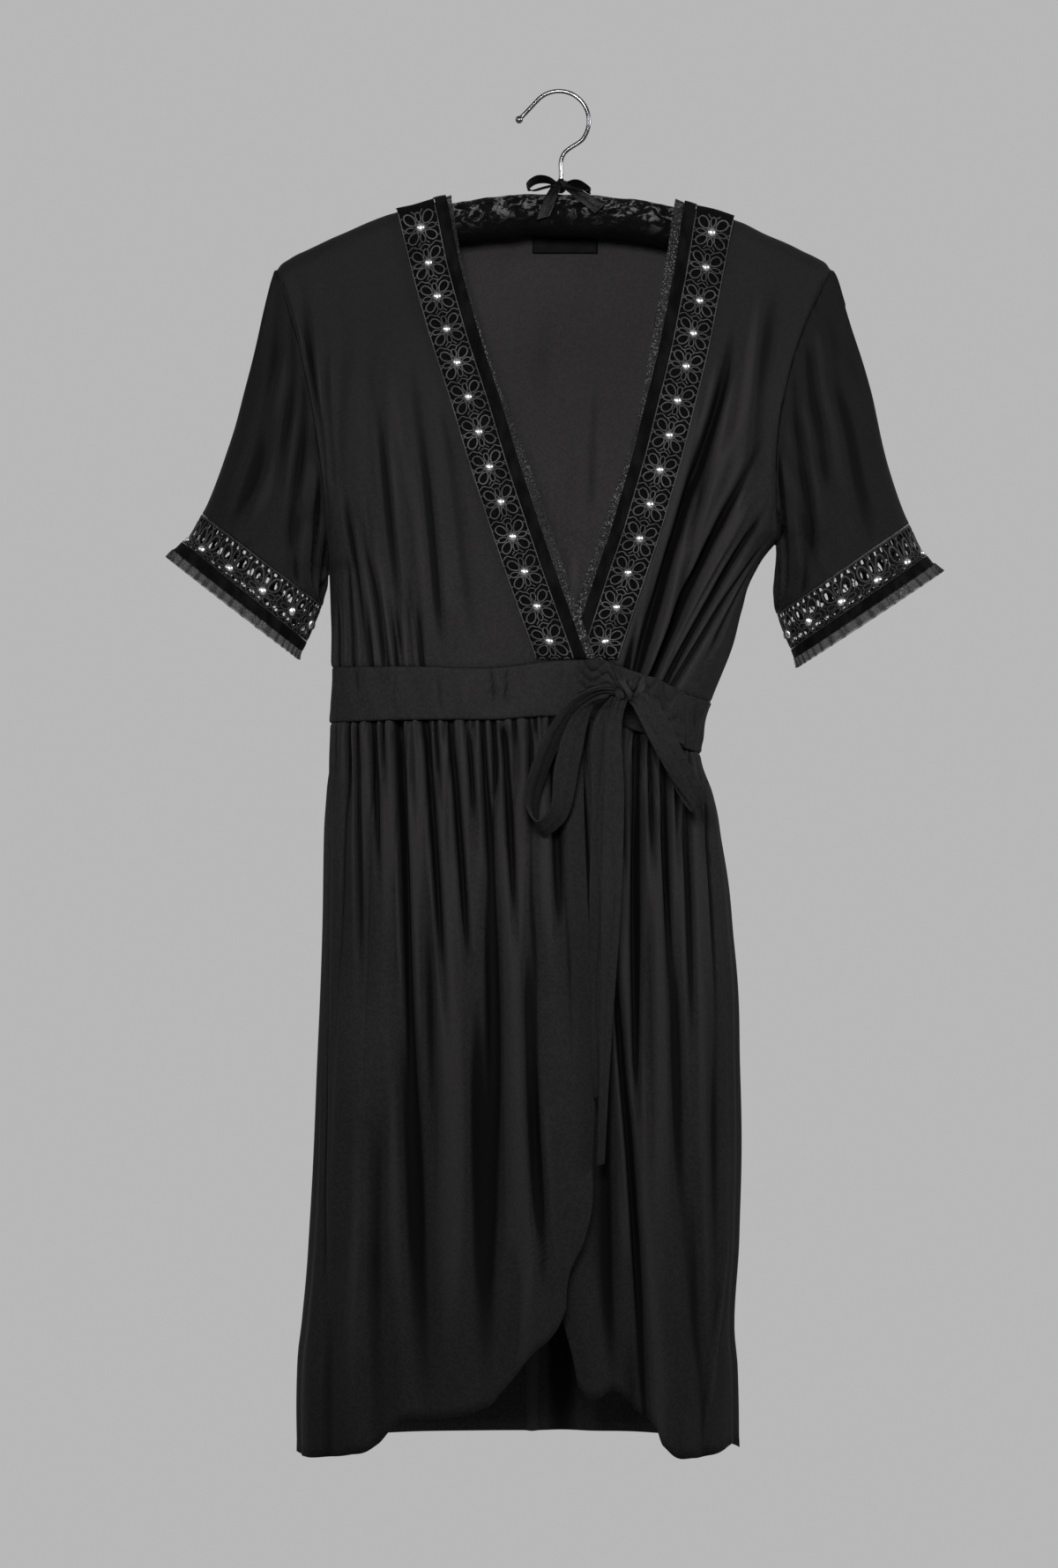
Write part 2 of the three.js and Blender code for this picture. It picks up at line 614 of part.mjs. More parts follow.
// Sleeves: tubes from the armhole to the cuff. Each row gives the tube's outer and inner corner.
const SLEEVES = {
  right: { hole: 'left', inwardSign: 1, rows: [
    { along: 0, outX: -224, outZ: -140, inX: -182, inZ: -378, half: 34 },
    { along: 0.25, outX: -233.5, outZ: -178, inX: -183.5, inZ: -388, half: 35 },
    { along: 0.5, outX: -248, outZ: -235, inX: -185, inZ: -396, half: 37 },
    { along: 0.75, outX: -264.5, outZ: -290, inX: -186.5, inZ: -402, half: 39 },
    { along: 1, outX: -283.5, outZ: -334, inX: -188, inZ: -407, half: 41 },
    { along: 2, outX: -299, outZ: -356, inX: -200, inZ: -435.5, half: 43 },
    { along: 3, outX: -306.5, outZ: -363, inX: -204.5, inZ: -443, half: 44 },
    { along: 4, outX: -311, outZ: -369, inX: -207, inZ: -449.5, half: 45 },
  ] },
  left: { hole: 'right', inwardSign: -1, rows: [
    { along: 0, outX: 216, outZ: -140, inX: 175, inZ: -354, half: 34 },
    { along: 0.25, outX: 230, outZ: -186, inX: 172.5, inZ: -369, half: 35 },
    { along: 0.5, outX: 246, outZ: -238, inX: 171, inZ: -386, half: 37 },
    { along: 0.75, outX: 260, outZ: -294, inX: 171, inZ: -401, half: 39 },
    { along: 1, outX: 278, outZ: -342, inX: 173, inZ: -413.5, half: 41 },
    { along: 2, outX: 292, outZ: -367, inX: 184, inZ: -441.5, half: 43 },
    { along: 3, outX: 298.5, outZ: -374, inX: 187, inZ: -449, half: 44 },
    { along: 4, outX: 304.5, outZ: -380, inX: 189.5, inZ: -456, half: 45 },
  ] },
};
const ARM_GAP = { left: 0.9, right: 1.4 };  // clear gap at each armhole's seam, by the outline's side
const TIP_GAP = 0.8;          // and more at the shoulder's tip

const TRIM_SEAM = 0.018;      // gaps beside the cuff's ribbon, as a share of a trim's width

for (const sleeve of Object.values(SLEEVES)) {
  for (const key of ['outX', 'outZ', 'inX', 'inZ', 'half']) sleeve[key] = track(sleeve.rows, 'along', key);
}

// Round the tube: turn 0 is the outer corner, 0.25 the middle of the front, 0.5 the inner corner
function tubePlace(sleeve, turn, along) {
  const angle = turn * 2 * Math.PI;
  const share = (1 - Math.cos(angle)) / 2;
  const hole = ARMHOLES[sleeve.hole];
  const loose = smooth(along / 0.9);
  const bulge = hole.inward * Math.sin(angle) ** 2 * (1 - loose);
  const x = lerp(sleeve.outX(along), sleeve.inX(along), share) + bulge;
  const z = lerp(sleeve.outZ(along), sleeve.inZ(along), share);
  const face = Math.sin(angle) >= 0 ? 'front' : 'back';
  const seam = face === 'front' ? -depthAt('front', x, z) : depthAt('back', x, z);
  const tube = -sleeve.half(along) * Math.sign(Math.sin(angle)) * Math.abs(Math.sin(angle)) ** 0.9;
  const gap = (ARM_GAP[sleeve.hole] + TIP_GAP * (1 - share) ** 8) * (1 - loose);
  return new THREE.Vector3(x - sleeve.inwardSign * gap, lerp(seam, tube, loose), z);
}

function tubeMiddle(sleeve, along) {
  return new THREE.Vector3(
    (sleeve.outX(along) + sleeve.inX(along)) / 2, 0, (sleeve.outZ(along) + sleeve.inZ(along)) / 2,
  );
}

for (const [side, sleeve] of Object.entries(SLEEVES)) {
  const cuffEnd = 1 - SEAM / 30;
  wall(`sleeve_${side}`, {
    place: (u, v) => tubePlace(sleeve, u, v * cuffEnd),
    inside: tubeMiddle(sleeve, 0.5),
    rows: [0, 0.08, 0.22, 0.42, 0.62, 0.82, 1].map((v) => ({ v, columns: 18 })),
    thick: CLOTH,
    ring: true,
    finish: CREPE,
  });
  wall(`cuff_ribbon_${side}`, {
    place: (u, v) => tubePlace(sleeve, u, lerp(2 + TRIM_SEAM, 3 - TRIM_SEAM, v)),
    inside: tubeMiddle(sleeve, 2.5),
    rows: evenRows(1, 18),
    thick: TRIM,
    ring: true,
    finish: VELVET,
  });
  wall(`cuff_frill_${side}`, {
    place: (u, v) => tubePlace(sleeve, u, lerp(3, 4, v)),
    inside: tubeMiddle(sleeve, 3.5),
    lift: (u, v) => (0.5 + 0.8 * v) * Math.cos(2 * Math.PI * u * CUFF_FRILL_PLEATS),
    rows: evenRows(1, CUFF_FRILL_PLEATS * 2),
    thick: TRIM,
    ring: true,
    finish: TULLE,
  });
}

// Lace. One flower is a plate with four petals cut through, set slantwise round a raised stud.
const PETAL_OUT = 8.3;        // middle of the flower to the middle of a petal
const PETAL_LONG = 4.3;
const PETAL_WIDE = 2.5;
const PETAL_CORNERS = 4;
const STUD_RADIUS = 3.3;
const STUD_HEIGHT = 2.2;
const STUD_CORNERS = 4;

function polygon(centreX, centreY, long, wide, tilt, corners) {
  return Array.from({ length: corners }, (_, i) => {
    const angle = (i / corners) * 2 * Math.PI;
    const a = long * Math.cos(angle);
    const b = wide * Math.sin(angle);
    return new THREE.Vector2(
      centreX + a * Math.cos(tilt) - b * Math.sin(tilt),
      centreY + a * Math.sin(tilt) + b * Math.cos(tilt),
    );
  });
}
const PETALS = [0.25, 0.75, 1.25, 1.75].map((part) => {
  const tilt = part * Math.PI;
  return polygon(PETAL_OUT * Math.cos(tilt), PETAL_OUT * Math.sin(tilt), PETAL_LONG, PETAL_WIDE, tilt, PETAL_CORNERS);
});
const STUD = polygon(0, 0, STUD_RADIUS, STUD_RADIUS, 0, STUD_CORNERS);

// place(across, along, height): across in mm from the band's middle, along in flowers
function lace(name, { place, flowers, lead }) {
  const vertices = [];
  const faces = [];
  const ids = new Map();
  const corner = (x, along, height) => {
    const key = `${x.toFixed(4)} ${along.toFixed(5)} ${height}`;
    if (!ids.has(key)) ids.set(key, vertices.push(place(x, along, height)) - 1);
    return ids.get(key);
  };
  const half = LACE_WIDTH / 2;
  const plate = (from, to, holes, studs) => {
    const reach = ((to - from) * LACE_PITCH) / 2;
    const middle = (from + to) / 2;
    const outline = [[-half, -reach], [half, -reach], [half, reach], [-half, reach]].map((p) => new THREE.Vector2(...p));
    const side = (height, cut, turned) => {
      const all = [outline, ...cut].flat();
      for (const [a, b, c] of THREE.ShapeUtils.triangulateShape(outline, cut)) {
        const face = [a, b, c].map((i) => corner(all[i].x, middle + all[i].y / LACE_PITCH, height));
        faces.push(turned ? [face[0], face[2], face[1]] : face);
      }
    };
    side(TRIM, [...holes, ...studs], false);
    side(0, holes, true);
    const wallOf = (loop, count) => {
      for (let i = 0; i < count; i += 1) {
        const p = loop[i];
        const q = loop[(i + 1) % loop.length];
        const [a, b] = [p, q].map((r) => corner(r.x, middle + r.y / LACE_PITCH, 0));
        const [c, d] = [q, p].map((r) => corner(r.x, middle + r.y / LACE_PITCH, TRIM));
        faces.push([a, b, c], [a, c, d]);
      }
    };
    for (const hole of holes) wallOf([...hole].reverse(), hole.length);
    wallOf([outline[1], outline[2]], 1);
    wallOf([outline[3], outline[0]], 1);
    for (const stud of studs) {
      const top = corner(0, middle, TRIM + STUD_HEIGHT);
      stud.forEach((p, i) => {
        const q = stud[(i + 1) % stud.length];
        faces.push([corner(p.x, middle + p.y / LACE_PITCH, TRIM), corner(q.x, middle + q.y / LACE_PITCH, TRIM), top]);
      });
    }
  };
  const leadPlates = lead ? 2 : 0;
  for (let i = leadPlates; i > 0; i -= 1) plate((-lead * i) / leadPlates, (-lead * (i - 1)) / leadPlates, [], []);
  for (let i = 0; i < flowers; i += 1) plate(i, i + 1, PETALS, [STUD]);
  const endWall = (along, turned) => {
    const ring = [[-half, 0], [half, 0], [half, TRIM], [-half, TRIM]].map(([x, h]) => corner(x, along, h));
    const [a, b, c, d] = ring;
    faces.push(...(turned ? [[a, c, b], [a, d, c]] : [[a, b, c], [a, c, d]]));
  };
  endWall(-lead, false);
  endWall(flowers, true);
  addMesh(name, vertices, faces, LACE_CORD);
}

for (const [side, sleeve] of Object.entries(SLEEVES)) {
  for (const [face, from] of [['front', 0], ['back', 0.5]]) {
    const flowers = CUFF_FLOWERS / 2;
    lace(`cuff_lace_${side}_${face}`, {
      lead: 0,
      flowers,
      place: (x, along, height) => {
        const turn = from + lerp(SEAM / 300, 0.5 - SEAM / 300, along / flowers);
        const down = 1.5 + (x / LACE_WIDTH) * (1 - TRIM_SEAM);
        const point = tubePlace(sleeve, turn, down);
        const out = point.clone().sub(tubeMiddle(sleeve, down)).normalize();
        return point.addScaledVector(out, height - TRIM);
      },
    });
  }
}

// Neck trims lie on the fronts. The distance down the band is measured along the cloth.
const LAPS = { right: lapBodiceOver, left: lapBodiceUnder };
function neckRoute(side) {
  const samples = [{ length: 0, drop: 0 }];
  const seam = shoulderZ(NECK[side].x(NECK_SEAM_Z));
  const stop = seam - (waistTop(NECK[side].x(NECK_FOOT_Z)) + 1);
  let before = skin('front', ...bandPlace(side, 0, 0));
  for (let drop = 0.25; drop <= stop; drop += 0.25) {
    const point = skin('front', ...bandPlace(side, 0, drop));
    samples.push({ length: samples[samples.length - 1].length + point.distanceTo(before), drop });
    before = point;
  }
  return { total: samples[samples.length - 1].length, stop, dropAt: (length) => {
    const i = clamp(samples.findIndex((sample) => sample.length >= length), 1, samples.length - 1);
    const [a, b] = [samples[i - 1], samples[i]];
    return length >= b.length ? b.drop : lerp(a.drop, b.drop, (length - a.length) / (b.length - a.length));
  } };
}

function neckNormal(point) {
  const step = 0.5;
  const right = skin('front', point.x + step, point.z).sub(skin('front', point.x - step, point.z));
  const up = skin('front', point.x, point.z + step).sub(skin('front', point.x, point.z - step));
  return right.cross(up).normalize();
}

for (const side of Object.keys(NECK)) {
  const route = neckRoute(side);
  const pitch = (route.total - LACE_LEAD) / NECK_FLOWERS;
  const lay = (out, length, rise) => {
    const drop = route.dropAt(length);
    const lean = out * 0.28 * smooth((drop - 8) / 40) * (1 - smooth((drop - route.stop + 30) / 30));
    const [x, z] = bandPlace(side, out, drop, lean);
    const lowest = waistTop(x) + 1;
    const point = skin('front', x, Math.max(z, lowest));
    const round = 1.5 * (1 - smooth((drop - 60) / 80)) + 0.6 * (1 - smooth((drop - 25) / 30));
    const hollow = side === 'left' ? smooth((-310 - z) / 30) : 0;
    return point.addScaledVector(neckNormal(point), rise + round + hollow + LAPS[side](point.x, point.z));
  };
  lace(`neck_lace_${side}`, {
    lead: LACE_LEAD / pitch,
    flowers: NECK_FLOWERS,
    place: (x, along, height) => lay(x * SLANT * -1, LACE_LEAD + along * pitch, RIDE + height),
  });
  wall(`neck_ribbon_${side}`, {
    place: (u, v) => lay(lerp(RIBBON_FROM, RIBBON_TO, u), v * route.total, RIDE + TRIM),
    inside: new THREE.Vector3(0, 0, -300),
    rows: [0, 0.02, 0.045, 0.07, 0.1, 0.18, 0.28, 0.4, 0.52, 0.64, 0.76, 0.88, 1].map((v) => ({ v, columns: 1 })),
    thick: TRIM,
    finish: VELVET,
  });
  wall(`neck_frill_${side}`, {
    place: (u, v) => lay(lerp(FRILL_FROM, FRILL_TO, v), u * route.total, 0),
    inside: new THREE.Vector3(0, 0, -300),
    lift: (u, v) => (0.25 + 0.9 * v) * Math.cos(2 * Math.PI * u * NECK_FRILL_WAVES) - 0.3,
    rows: evenRows(1, NECK_FRILL_WAVES * 2),
    thick: TRIM,
    finish: TULLE,
  });
}

// Label, sewn inside the back neck and left plain
wall('neck_label', {
  place: (u, v) => {
    const point = skin('back', lerp(-21, 31, u), lerp(-111.5, -124, v));
    return point.setY(point.y - CLOTH - RIDE);
  },
  inside: new THREE.Vector3(0, 0, -118),
  rows: evenRows(1, 2),
  thick: TRIM,
  finish: SATIN,
});

// Strips of cloth between two edges: each row gives a place on the front rim and the way to the rear rim
function strip(name, rows, thick, steps, finish) {
  const rim = new THREE.CatmullRomCurve3(rows.map((r) => new THREE.Vector3(r.x, r.y, r.z)), false, 'centripetal');
  const reach = new THREE.CatmullRomCurve3(rows.map((r) => new THREE.Vector3(r.wx, r.wy, r.wz)), false, 'centripetal');
  wall(name, {
    place: (u, v) => rim.getPoint(v).addScaledVector(reach.getPoint(v), u),
    inside: new THREE.Vector3(0, 400, -600),
    lift: () => thick / 2,
    rows: Array.from({ length: steps + 1 }, (_, i) => ({ v: i / steps, columns: 1 })),
    thick,
    finish,
  });
}

// Belt, tied in a bow on the waistband. The straps start on the waistband's outer face.
const KNOT = { x: 49.5, y: -61, z: -476, halfX: 6.2, halfY: 6, halfZ: 8.5 };
const BELT_CLEAR = SEAM + BELT / 2;
function onBand(x, z, lap) {
  const point = skin('front', x, z);
  return { x, y: point.y - lap - BELT_CLEAR, z };
}
function roundedKnot(name, at, finish) {
  const geometry = new THREE.SphereGeometry(1, 10, 6);
  geometry.deleteAttribute('normal');
  geometry.deleteAttribute('uv');
  const mesh = new THREE.Mesh(geometry, new THREE.MeshStandardMaterial(finish));
  const position = geometry.attributes.position;
  for (let i = 0; i < position.count; i += 1) {
    const p = new THREE.Vector3().fromBufferAttribute(position, i);
    position.setXYZ(i, at.x + p.x * at.halfX, at.y + p.y * at.halfY, at.z + p.z * at.halfZ);
  }
  geometry.computeVertexNormals();
  mesh.name = name;
  group.add(mesh);
}
roundedKnot('belt_knot', KNOT, CREPE);
strip('belt_loop_right', [
  { x: 43, y: -66, z: -475, wx: 0.5, wy: 4, wz: -2.5 },
  { x: 26, y: -69, z: -475, wx: 2, wy: 9, wz: -6 },
  { x: 11, y: -72, z: -480, wx: 5, wy: 11, wz: -5 },
  { x: -8, y: -75, z: -501, wx: 9, wy: 12, wz: -6 },
  { x: -24, y: -77, z: -541, wx: 10, wy: 13, wz: -4 },
  { x: -27.6, y: -78, z: -560, wx: 9, wy: 14, wz: -8 },
  { x: -18, y: -79, z: -576, wx: 6, wy: 14, wz: -11 },
  { x: -9, y: -79, z: -570, wx: 9, wy: 14, wz: -10 },
  { x: -6, y: -77, z: -534, wx: 18, wy: 11, wz: 0 },
  { x: 7, y: -75, z: -497, wx: 13, wy: 9, wz: 2 },
  { x: 24, y: -72, z: -484, wx: 4, wy: 6, wz: 1 },
  { x: 36, y: -70, z: -482, wx: 1, wy: 3, wz: -1 },
], BELT, 26, CREPE);
strip('belt_loop_left', [
  { x: 53, y: -66, z: -480.5, wx: -2, wy: 1, wz: -5 },
  { x: 66, y: -71, z: -480, wx: -8, wy: 1, wz: -11 },
  { x: 78, y: -73, z: -492, wx: -13, wy: 1, wz: -13 },
  { x: 90, y: -72, z: -513, wx: -15, wy: 1, wz: -11 },
  { x: 107, y: -65, z: -548, wx: -12, wy: 1, wz: -7 },
  { x: 112, y: -60, z: -560, wx: -10, wy: 1, wz: -7 },
  { x: 107, y: -57, z: -552, wx: -12, wy: 1, wz: -8 },
  { x: 91, y: -58, z: -522, wx: -13, wy: 1, wz: -8 },
  { x: 76, y: -59, z: -497, wx: -12, wy: 1, wz: -8 },
  { x: 62, y: -60, z: -485, wx: -3, wy: 1, wz: -4 },
], BELT, 20, CREPE);
const TAILS = {
  belt_tail_front: [
    { x: 46, y: -68, z: -478, wx: 7, wy: 0, wz: 0 },
    { x: 37, y: -69, z: -500, wx: 10, wy: 0, wz: 0 },
    { x: 34, y: -69, z: -560, wx: 15.5, wy: 1, wz: 0 },
    { x: 32, y: -70, z: -640, wx: 15, wy: 2, wz: 0 },
    { x: 31, y: -71, z: -720, wx: 10.5, wy: 4, wz: 0 },
    { x: 30, y: -72, z: -800, wx: 6, wy: 6, wz: 0 },
    { x: 29, y: -72, z: -842, wx: 5, wy: 7, wz: 0 },
  ],
  belt_tail_back: [
    { x: 41, y: -63.5, z: -481.5, wx: 4, wy: 1, wz: 0 },
    { x: 26.5, y: -65, z: -500, wx: 12, wy: 1, wz: 0 },
    { x: 24.5, y: -65.5, z: -560, wx: 13, wy: 1, wz: 0 },
    { x: 23, y: -66, z: -640, wx: 13, wy: 1, wz: 0 },
    { x: 24.5, y: -67.5, z: -720, wx: 10, wy: 1, wz: 0 },
    { x: 26, y: -69, z: -790, wx: 5, wy: 1, wz: 0 },
  ],
};
for (const [name, rows] of Object.entries(TAILS)) strip(name, rows, BELT, 14, CREPE);
strip('belt_strap_right', [
  { ...onBand(4, -455, lapOver(4)), wx: 0, wy: 0, wz: -22 },
  { ...onBand(14, -456, lapOver(14)), wx: 0, wy: 0, wz: -21 },
  { x: 26, y: -57, z: -455.5, wx: 0, wy: 1, wz: -20 },
  { x: 36, y: -60, z: -459, wx: 0, wy: 1, wz: -15 },
  { x: 43, y: -61.5, z: -470.5, wx: 0, wy: 1, wz: -8 },
], BELT, 8, CREPE);
strip('belt_strap_left', [
  { x: 56, y: -61.5, z: -472, wx: 0, wy: 1, wz: -8 },
  { x: 63, y: -59.5, z: -470, wx: 0, wy: 1, wz: -13 },
  { x: 74, y: -50, z: -473, wx: 0, wy: 1, wz: -18 },
  { ...onBand(86, -477, 0), wx: 0, wy: 0, wz: -22 },
  { ...onBand(95, -480, 0), wx: 0, wy: 0, wz: -24 },
], BELT, 8, CREPE);

// Hanger: a padded bar that drops at both ends, with a wire hook
const HANGER_HALF = 209;
const PAD_GAP = 0.9;
const padTop = (x) => shoulderZ(x) - CLOTH - PAD_GAP;
const STATIONS = 16;
const SIDES = 10;
{
  const vertices = [];
  const faces = [];
  for (let i = 0; i <= STATIONS; i += 1) {
    const out = lerp(-1, 1, i / STATIONS);
    const x = SHOULDER_MIDDLE + HANGER_HALF * Math.sin((out * Math.PI) / 2);
    const end = Math.sqrt(Math.max(1 - Math.abs(out) ** 5, 0.02));
    const height = (PAD_HEIGHT / 2) * end;
    const top = padTop(x);
    const middle = top - PAD_HEIGHT / 2 - (PAD_HEIGHT / 2 - height) * 0.3;
    for (let k = 0; k < SIDES; k += 1) {
      const angle = (k / SIDES) * 2 * Math.PI;
      const y = (PAD_DEPTH / 2) * end * Math.sin(angle);
      vertices.push(new THREE.Vector3(x, y, middle + height * Math.cos(angle)));
      if (i === STATIONS) continue;
      const [a, b] = [i * SIDES + k, i * SIDES + ((k + 1) % SIDES)];
      faces.push([a, b, b + SIDES], [a, b + SIDES, a + SIDES]);
    }
  }
  for (const [start, turned] of [[0, true], [STATIONS * SIDES, false]]) {
    for (let k = 1; k < SIDES - 1; k += 1) {
      faces.push(turned ? [start, start + k + 1, start + k] : [start, start + k, start + k + 1]);
    }
  }
  addMesh('hanger_body', vertices, faces, CRUSHED);
}

const STEM_X = 1.6;
const HOOK_TOP = WIRE / 2;
const hookCentre = new THREE.Vector2(0, HOOK_TOP - HOOK_RADIUS);
const hookPoints = [new THREE.Vector3(-29, 0, -18.2), new THREE.Vector3(-23.5, 0, -12.4)];
for (let degrees = 140; degrees >= -40; degrees -= 20) {
  const angle = THREE.MathUtils.degToRad(degrees);
  hookPoints.push(new THREE.Vector3(
    hookCentre.x + HOOK_RADIUS * Math.cos(angle), 0, hookCentre.y + HOOK_RADIUS * Math.sin(angle),
  ));
}
hookPoints.push(new THREE.Vector3(4.6, 0, -47), new THREE.Vector3(STEM_X, 0, -54));
const seat = padTop(STEM_X) + 0.1;
hookPoints.push(new THREE.Vector3(STEM_X, 0, -62), new THREE.Vector3(STEM_X, 0, seat));
const hookSection = new THREE.Shape(polygon(0, 0, WIRE / 2, WIRE / 2, Math.PI / 8, 8));
const hook = new THREE.Mesh(
  new THREE.ExtrudeGeometry(hookSection, {
    steps: 22, bevelEnabled: false, extrudePath: new THREE.CatmullRomCurve3(hookPoints, false, 'centripetal'),
  }),
  new THREE.MeshStandardMaterial(CHROME),
);
hook.name = 'hanger_hook';
group.add(hook);
roundedKnot('hook_tip', { x: -31.6, y: 0, z: -20.9, halfX: 3.2, halfY: 3.2, halfZ: 3.2 }, CHROME);

// A narrow ribbon tied round the foot of the hook
roundedKnot('ribbon_knot', { x: 2, y: -7, z: -70, halfX: 5, halfY: 4.4, halfZ: 4.5 }, SATIN);
const RIBBON_BOW = {
  ribbon_loop_right: [
    { x: -3.5, y: -10, z: -68.5, wx: 0, wy: 6, wz: -1 },
    { x: -9, y: -12, z: -65.5, wx: 0, wy: 8, wz: -1 },
    { x: -18, y: -13, z: -65, wx: 0, wy: 9, wz: -1 },
    { x: -23.5, y: -14, z: -69, wx: 0, wy: 9, wz: -1 },
    { x: -19, y: -15, z: -73.5, wx: 1, wy: 6, wz: 0 },
    { x: -9, y: -15, z: -72.5, wx: 1, wy: 5, wz: 0 },
    { x: -4, y: -13, z: -71, wx: 0, wy: 4, wz: 0 },
  ],
  ribbon_loop_left: [
    { x: 7.5, y: -10, z: -68.5, wx: 0, wy: 6, wz: -1 },
    { x: 13, y: -12, z: -68.5, wx: 0, wy: 8, wz: -1 },
    { x: 21, y: -14, z: -70.5, wx: 0, wy: 8, wz: -1 },
    { x: 24.5, y: -16, z: -74.5, wx: 0, wy: 5, wz: -1 },
    { x: 19, y: -16.5, z: -74, wx: 0, wy: 4, wz: 0 },
    { x: 8, y: -13, z: -71.5, wx: 0, wy: 4, wz: 0 },
  ],
  ribbon_tail_right: [
    { x: -4, y: -9.5, z: -75.2, wx: 5.5, wy: 0, wz: 1 },
    { x: -12, y: -14.5, z: -86, wx: 8, wy: 0, wz: 2 },
    { x: -19, y: -17.5, z: -100, wx: 8, wy: 0, wz: 3 },
  ],
  ribbon_tail_left: [
    { x: 1.9, y: -9.2, z: -74.7, wx: 5.5, wy: 0, wz: 0 },
    { x: 12, y: -14.5, z: -86, wx: 8, wy: 0, wz: 1 },
    { x: 26, y: -17.5, z: -99, wx: 8, wy: 0, wz: 4 },
  ],
};
for (const [name, rows] of Object.entries(RIBBON_BOW)) strip(name, rows, TRIM, rows.length + 3, SATIN);

export default group;
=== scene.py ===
# %% [markdown]
# # A black wrap dress on its padded hanger
# The lesson dresses a frame of plain solids in finished cloth, lace, ribbon and wire.
# Every cloth piece is a flat grid that a few functions bend into its hanging shape, because a hanging
# panel is nothing but a flat cut that follows the hanger, the seams and its own folds.

# %% Open the frame
import math

import bmesh
import bpy
import numpy as np
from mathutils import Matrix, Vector


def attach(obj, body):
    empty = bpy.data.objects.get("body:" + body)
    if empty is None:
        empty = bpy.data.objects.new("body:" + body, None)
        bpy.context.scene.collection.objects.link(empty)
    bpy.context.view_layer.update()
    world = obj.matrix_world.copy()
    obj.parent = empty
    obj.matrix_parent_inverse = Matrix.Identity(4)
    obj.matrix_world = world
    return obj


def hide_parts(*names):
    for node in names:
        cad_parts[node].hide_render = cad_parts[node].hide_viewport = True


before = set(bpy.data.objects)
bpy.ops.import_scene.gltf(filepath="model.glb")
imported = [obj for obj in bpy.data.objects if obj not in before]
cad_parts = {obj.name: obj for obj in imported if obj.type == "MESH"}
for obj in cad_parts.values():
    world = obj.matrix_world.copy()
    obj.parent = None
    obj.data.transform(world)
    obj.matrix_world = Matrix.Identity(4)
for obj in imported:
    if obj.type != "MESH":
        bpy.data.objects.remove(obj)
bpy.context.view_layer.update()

# %% [markdown]
# ## Shader maths
# A finish is a few textures and some sums. Writing the sums as Python expressions keeps them short, so
# one small class wraps a socket and turns + - * / into Math nodes, and one method adds any other node.
# The surround, the floor and every finish of the dress are made this way.


# %% A socket that can be added and multiplied
class Value:
    def __init__(self, nodes, socket):
        self.nodes = nodes
        self.socket = socket

    def maths(self, operation, *others, swapped=False):
        order = [*others, self] if swapped else [self, *others]
        return self.nodes.add("ShaderNodeMath", {"operation": operation}, dict(enumerate(order)))

    def __add__(self, other):
        return self.maths("ADD", other)

    def __radd__(self, other):
        return self.maths("ADD", other, swapped=True)

    def __sub__(self, other):
        return self.maths("SUBTRACT", other)

    def __rsub__(self, other):
        return self.maths("SUBTRACT", other, swapped=True)

    def __mul__(self, other):
        return self.maths("MULTIPLY", other)

    def __rmul__(self, other):
        return self.maths("MULTIPLY", other, swapped=True)

    def __truediv__(self, other):
        return self.maths("DIVIDE", other)

    def __rtruediv__(self, other):
        return self.maths("DIVIDE", other, swapped=True)

    def under(self, other):
        return self.maths("LESS_THAN", other)

    def size(self):
        return self.maths("ABSOLUTE")

    def part(self):
        return self.maths("FRACT")

    def between(self, low, high, to_low=0.0, to_high=1.0, way="SMOOTHSTEP"):
        """A step from to_low to to_high, while this value goes from low to high."""
        return self.nodes.add("ShaderNodeMapRange", {"interpolation_type": way},
                              {0: self, 1: low, 2: high, 3: to_low, 4: to_high})


print("a value knows", [name for name in vars(Value) if not name.startswith("_")])


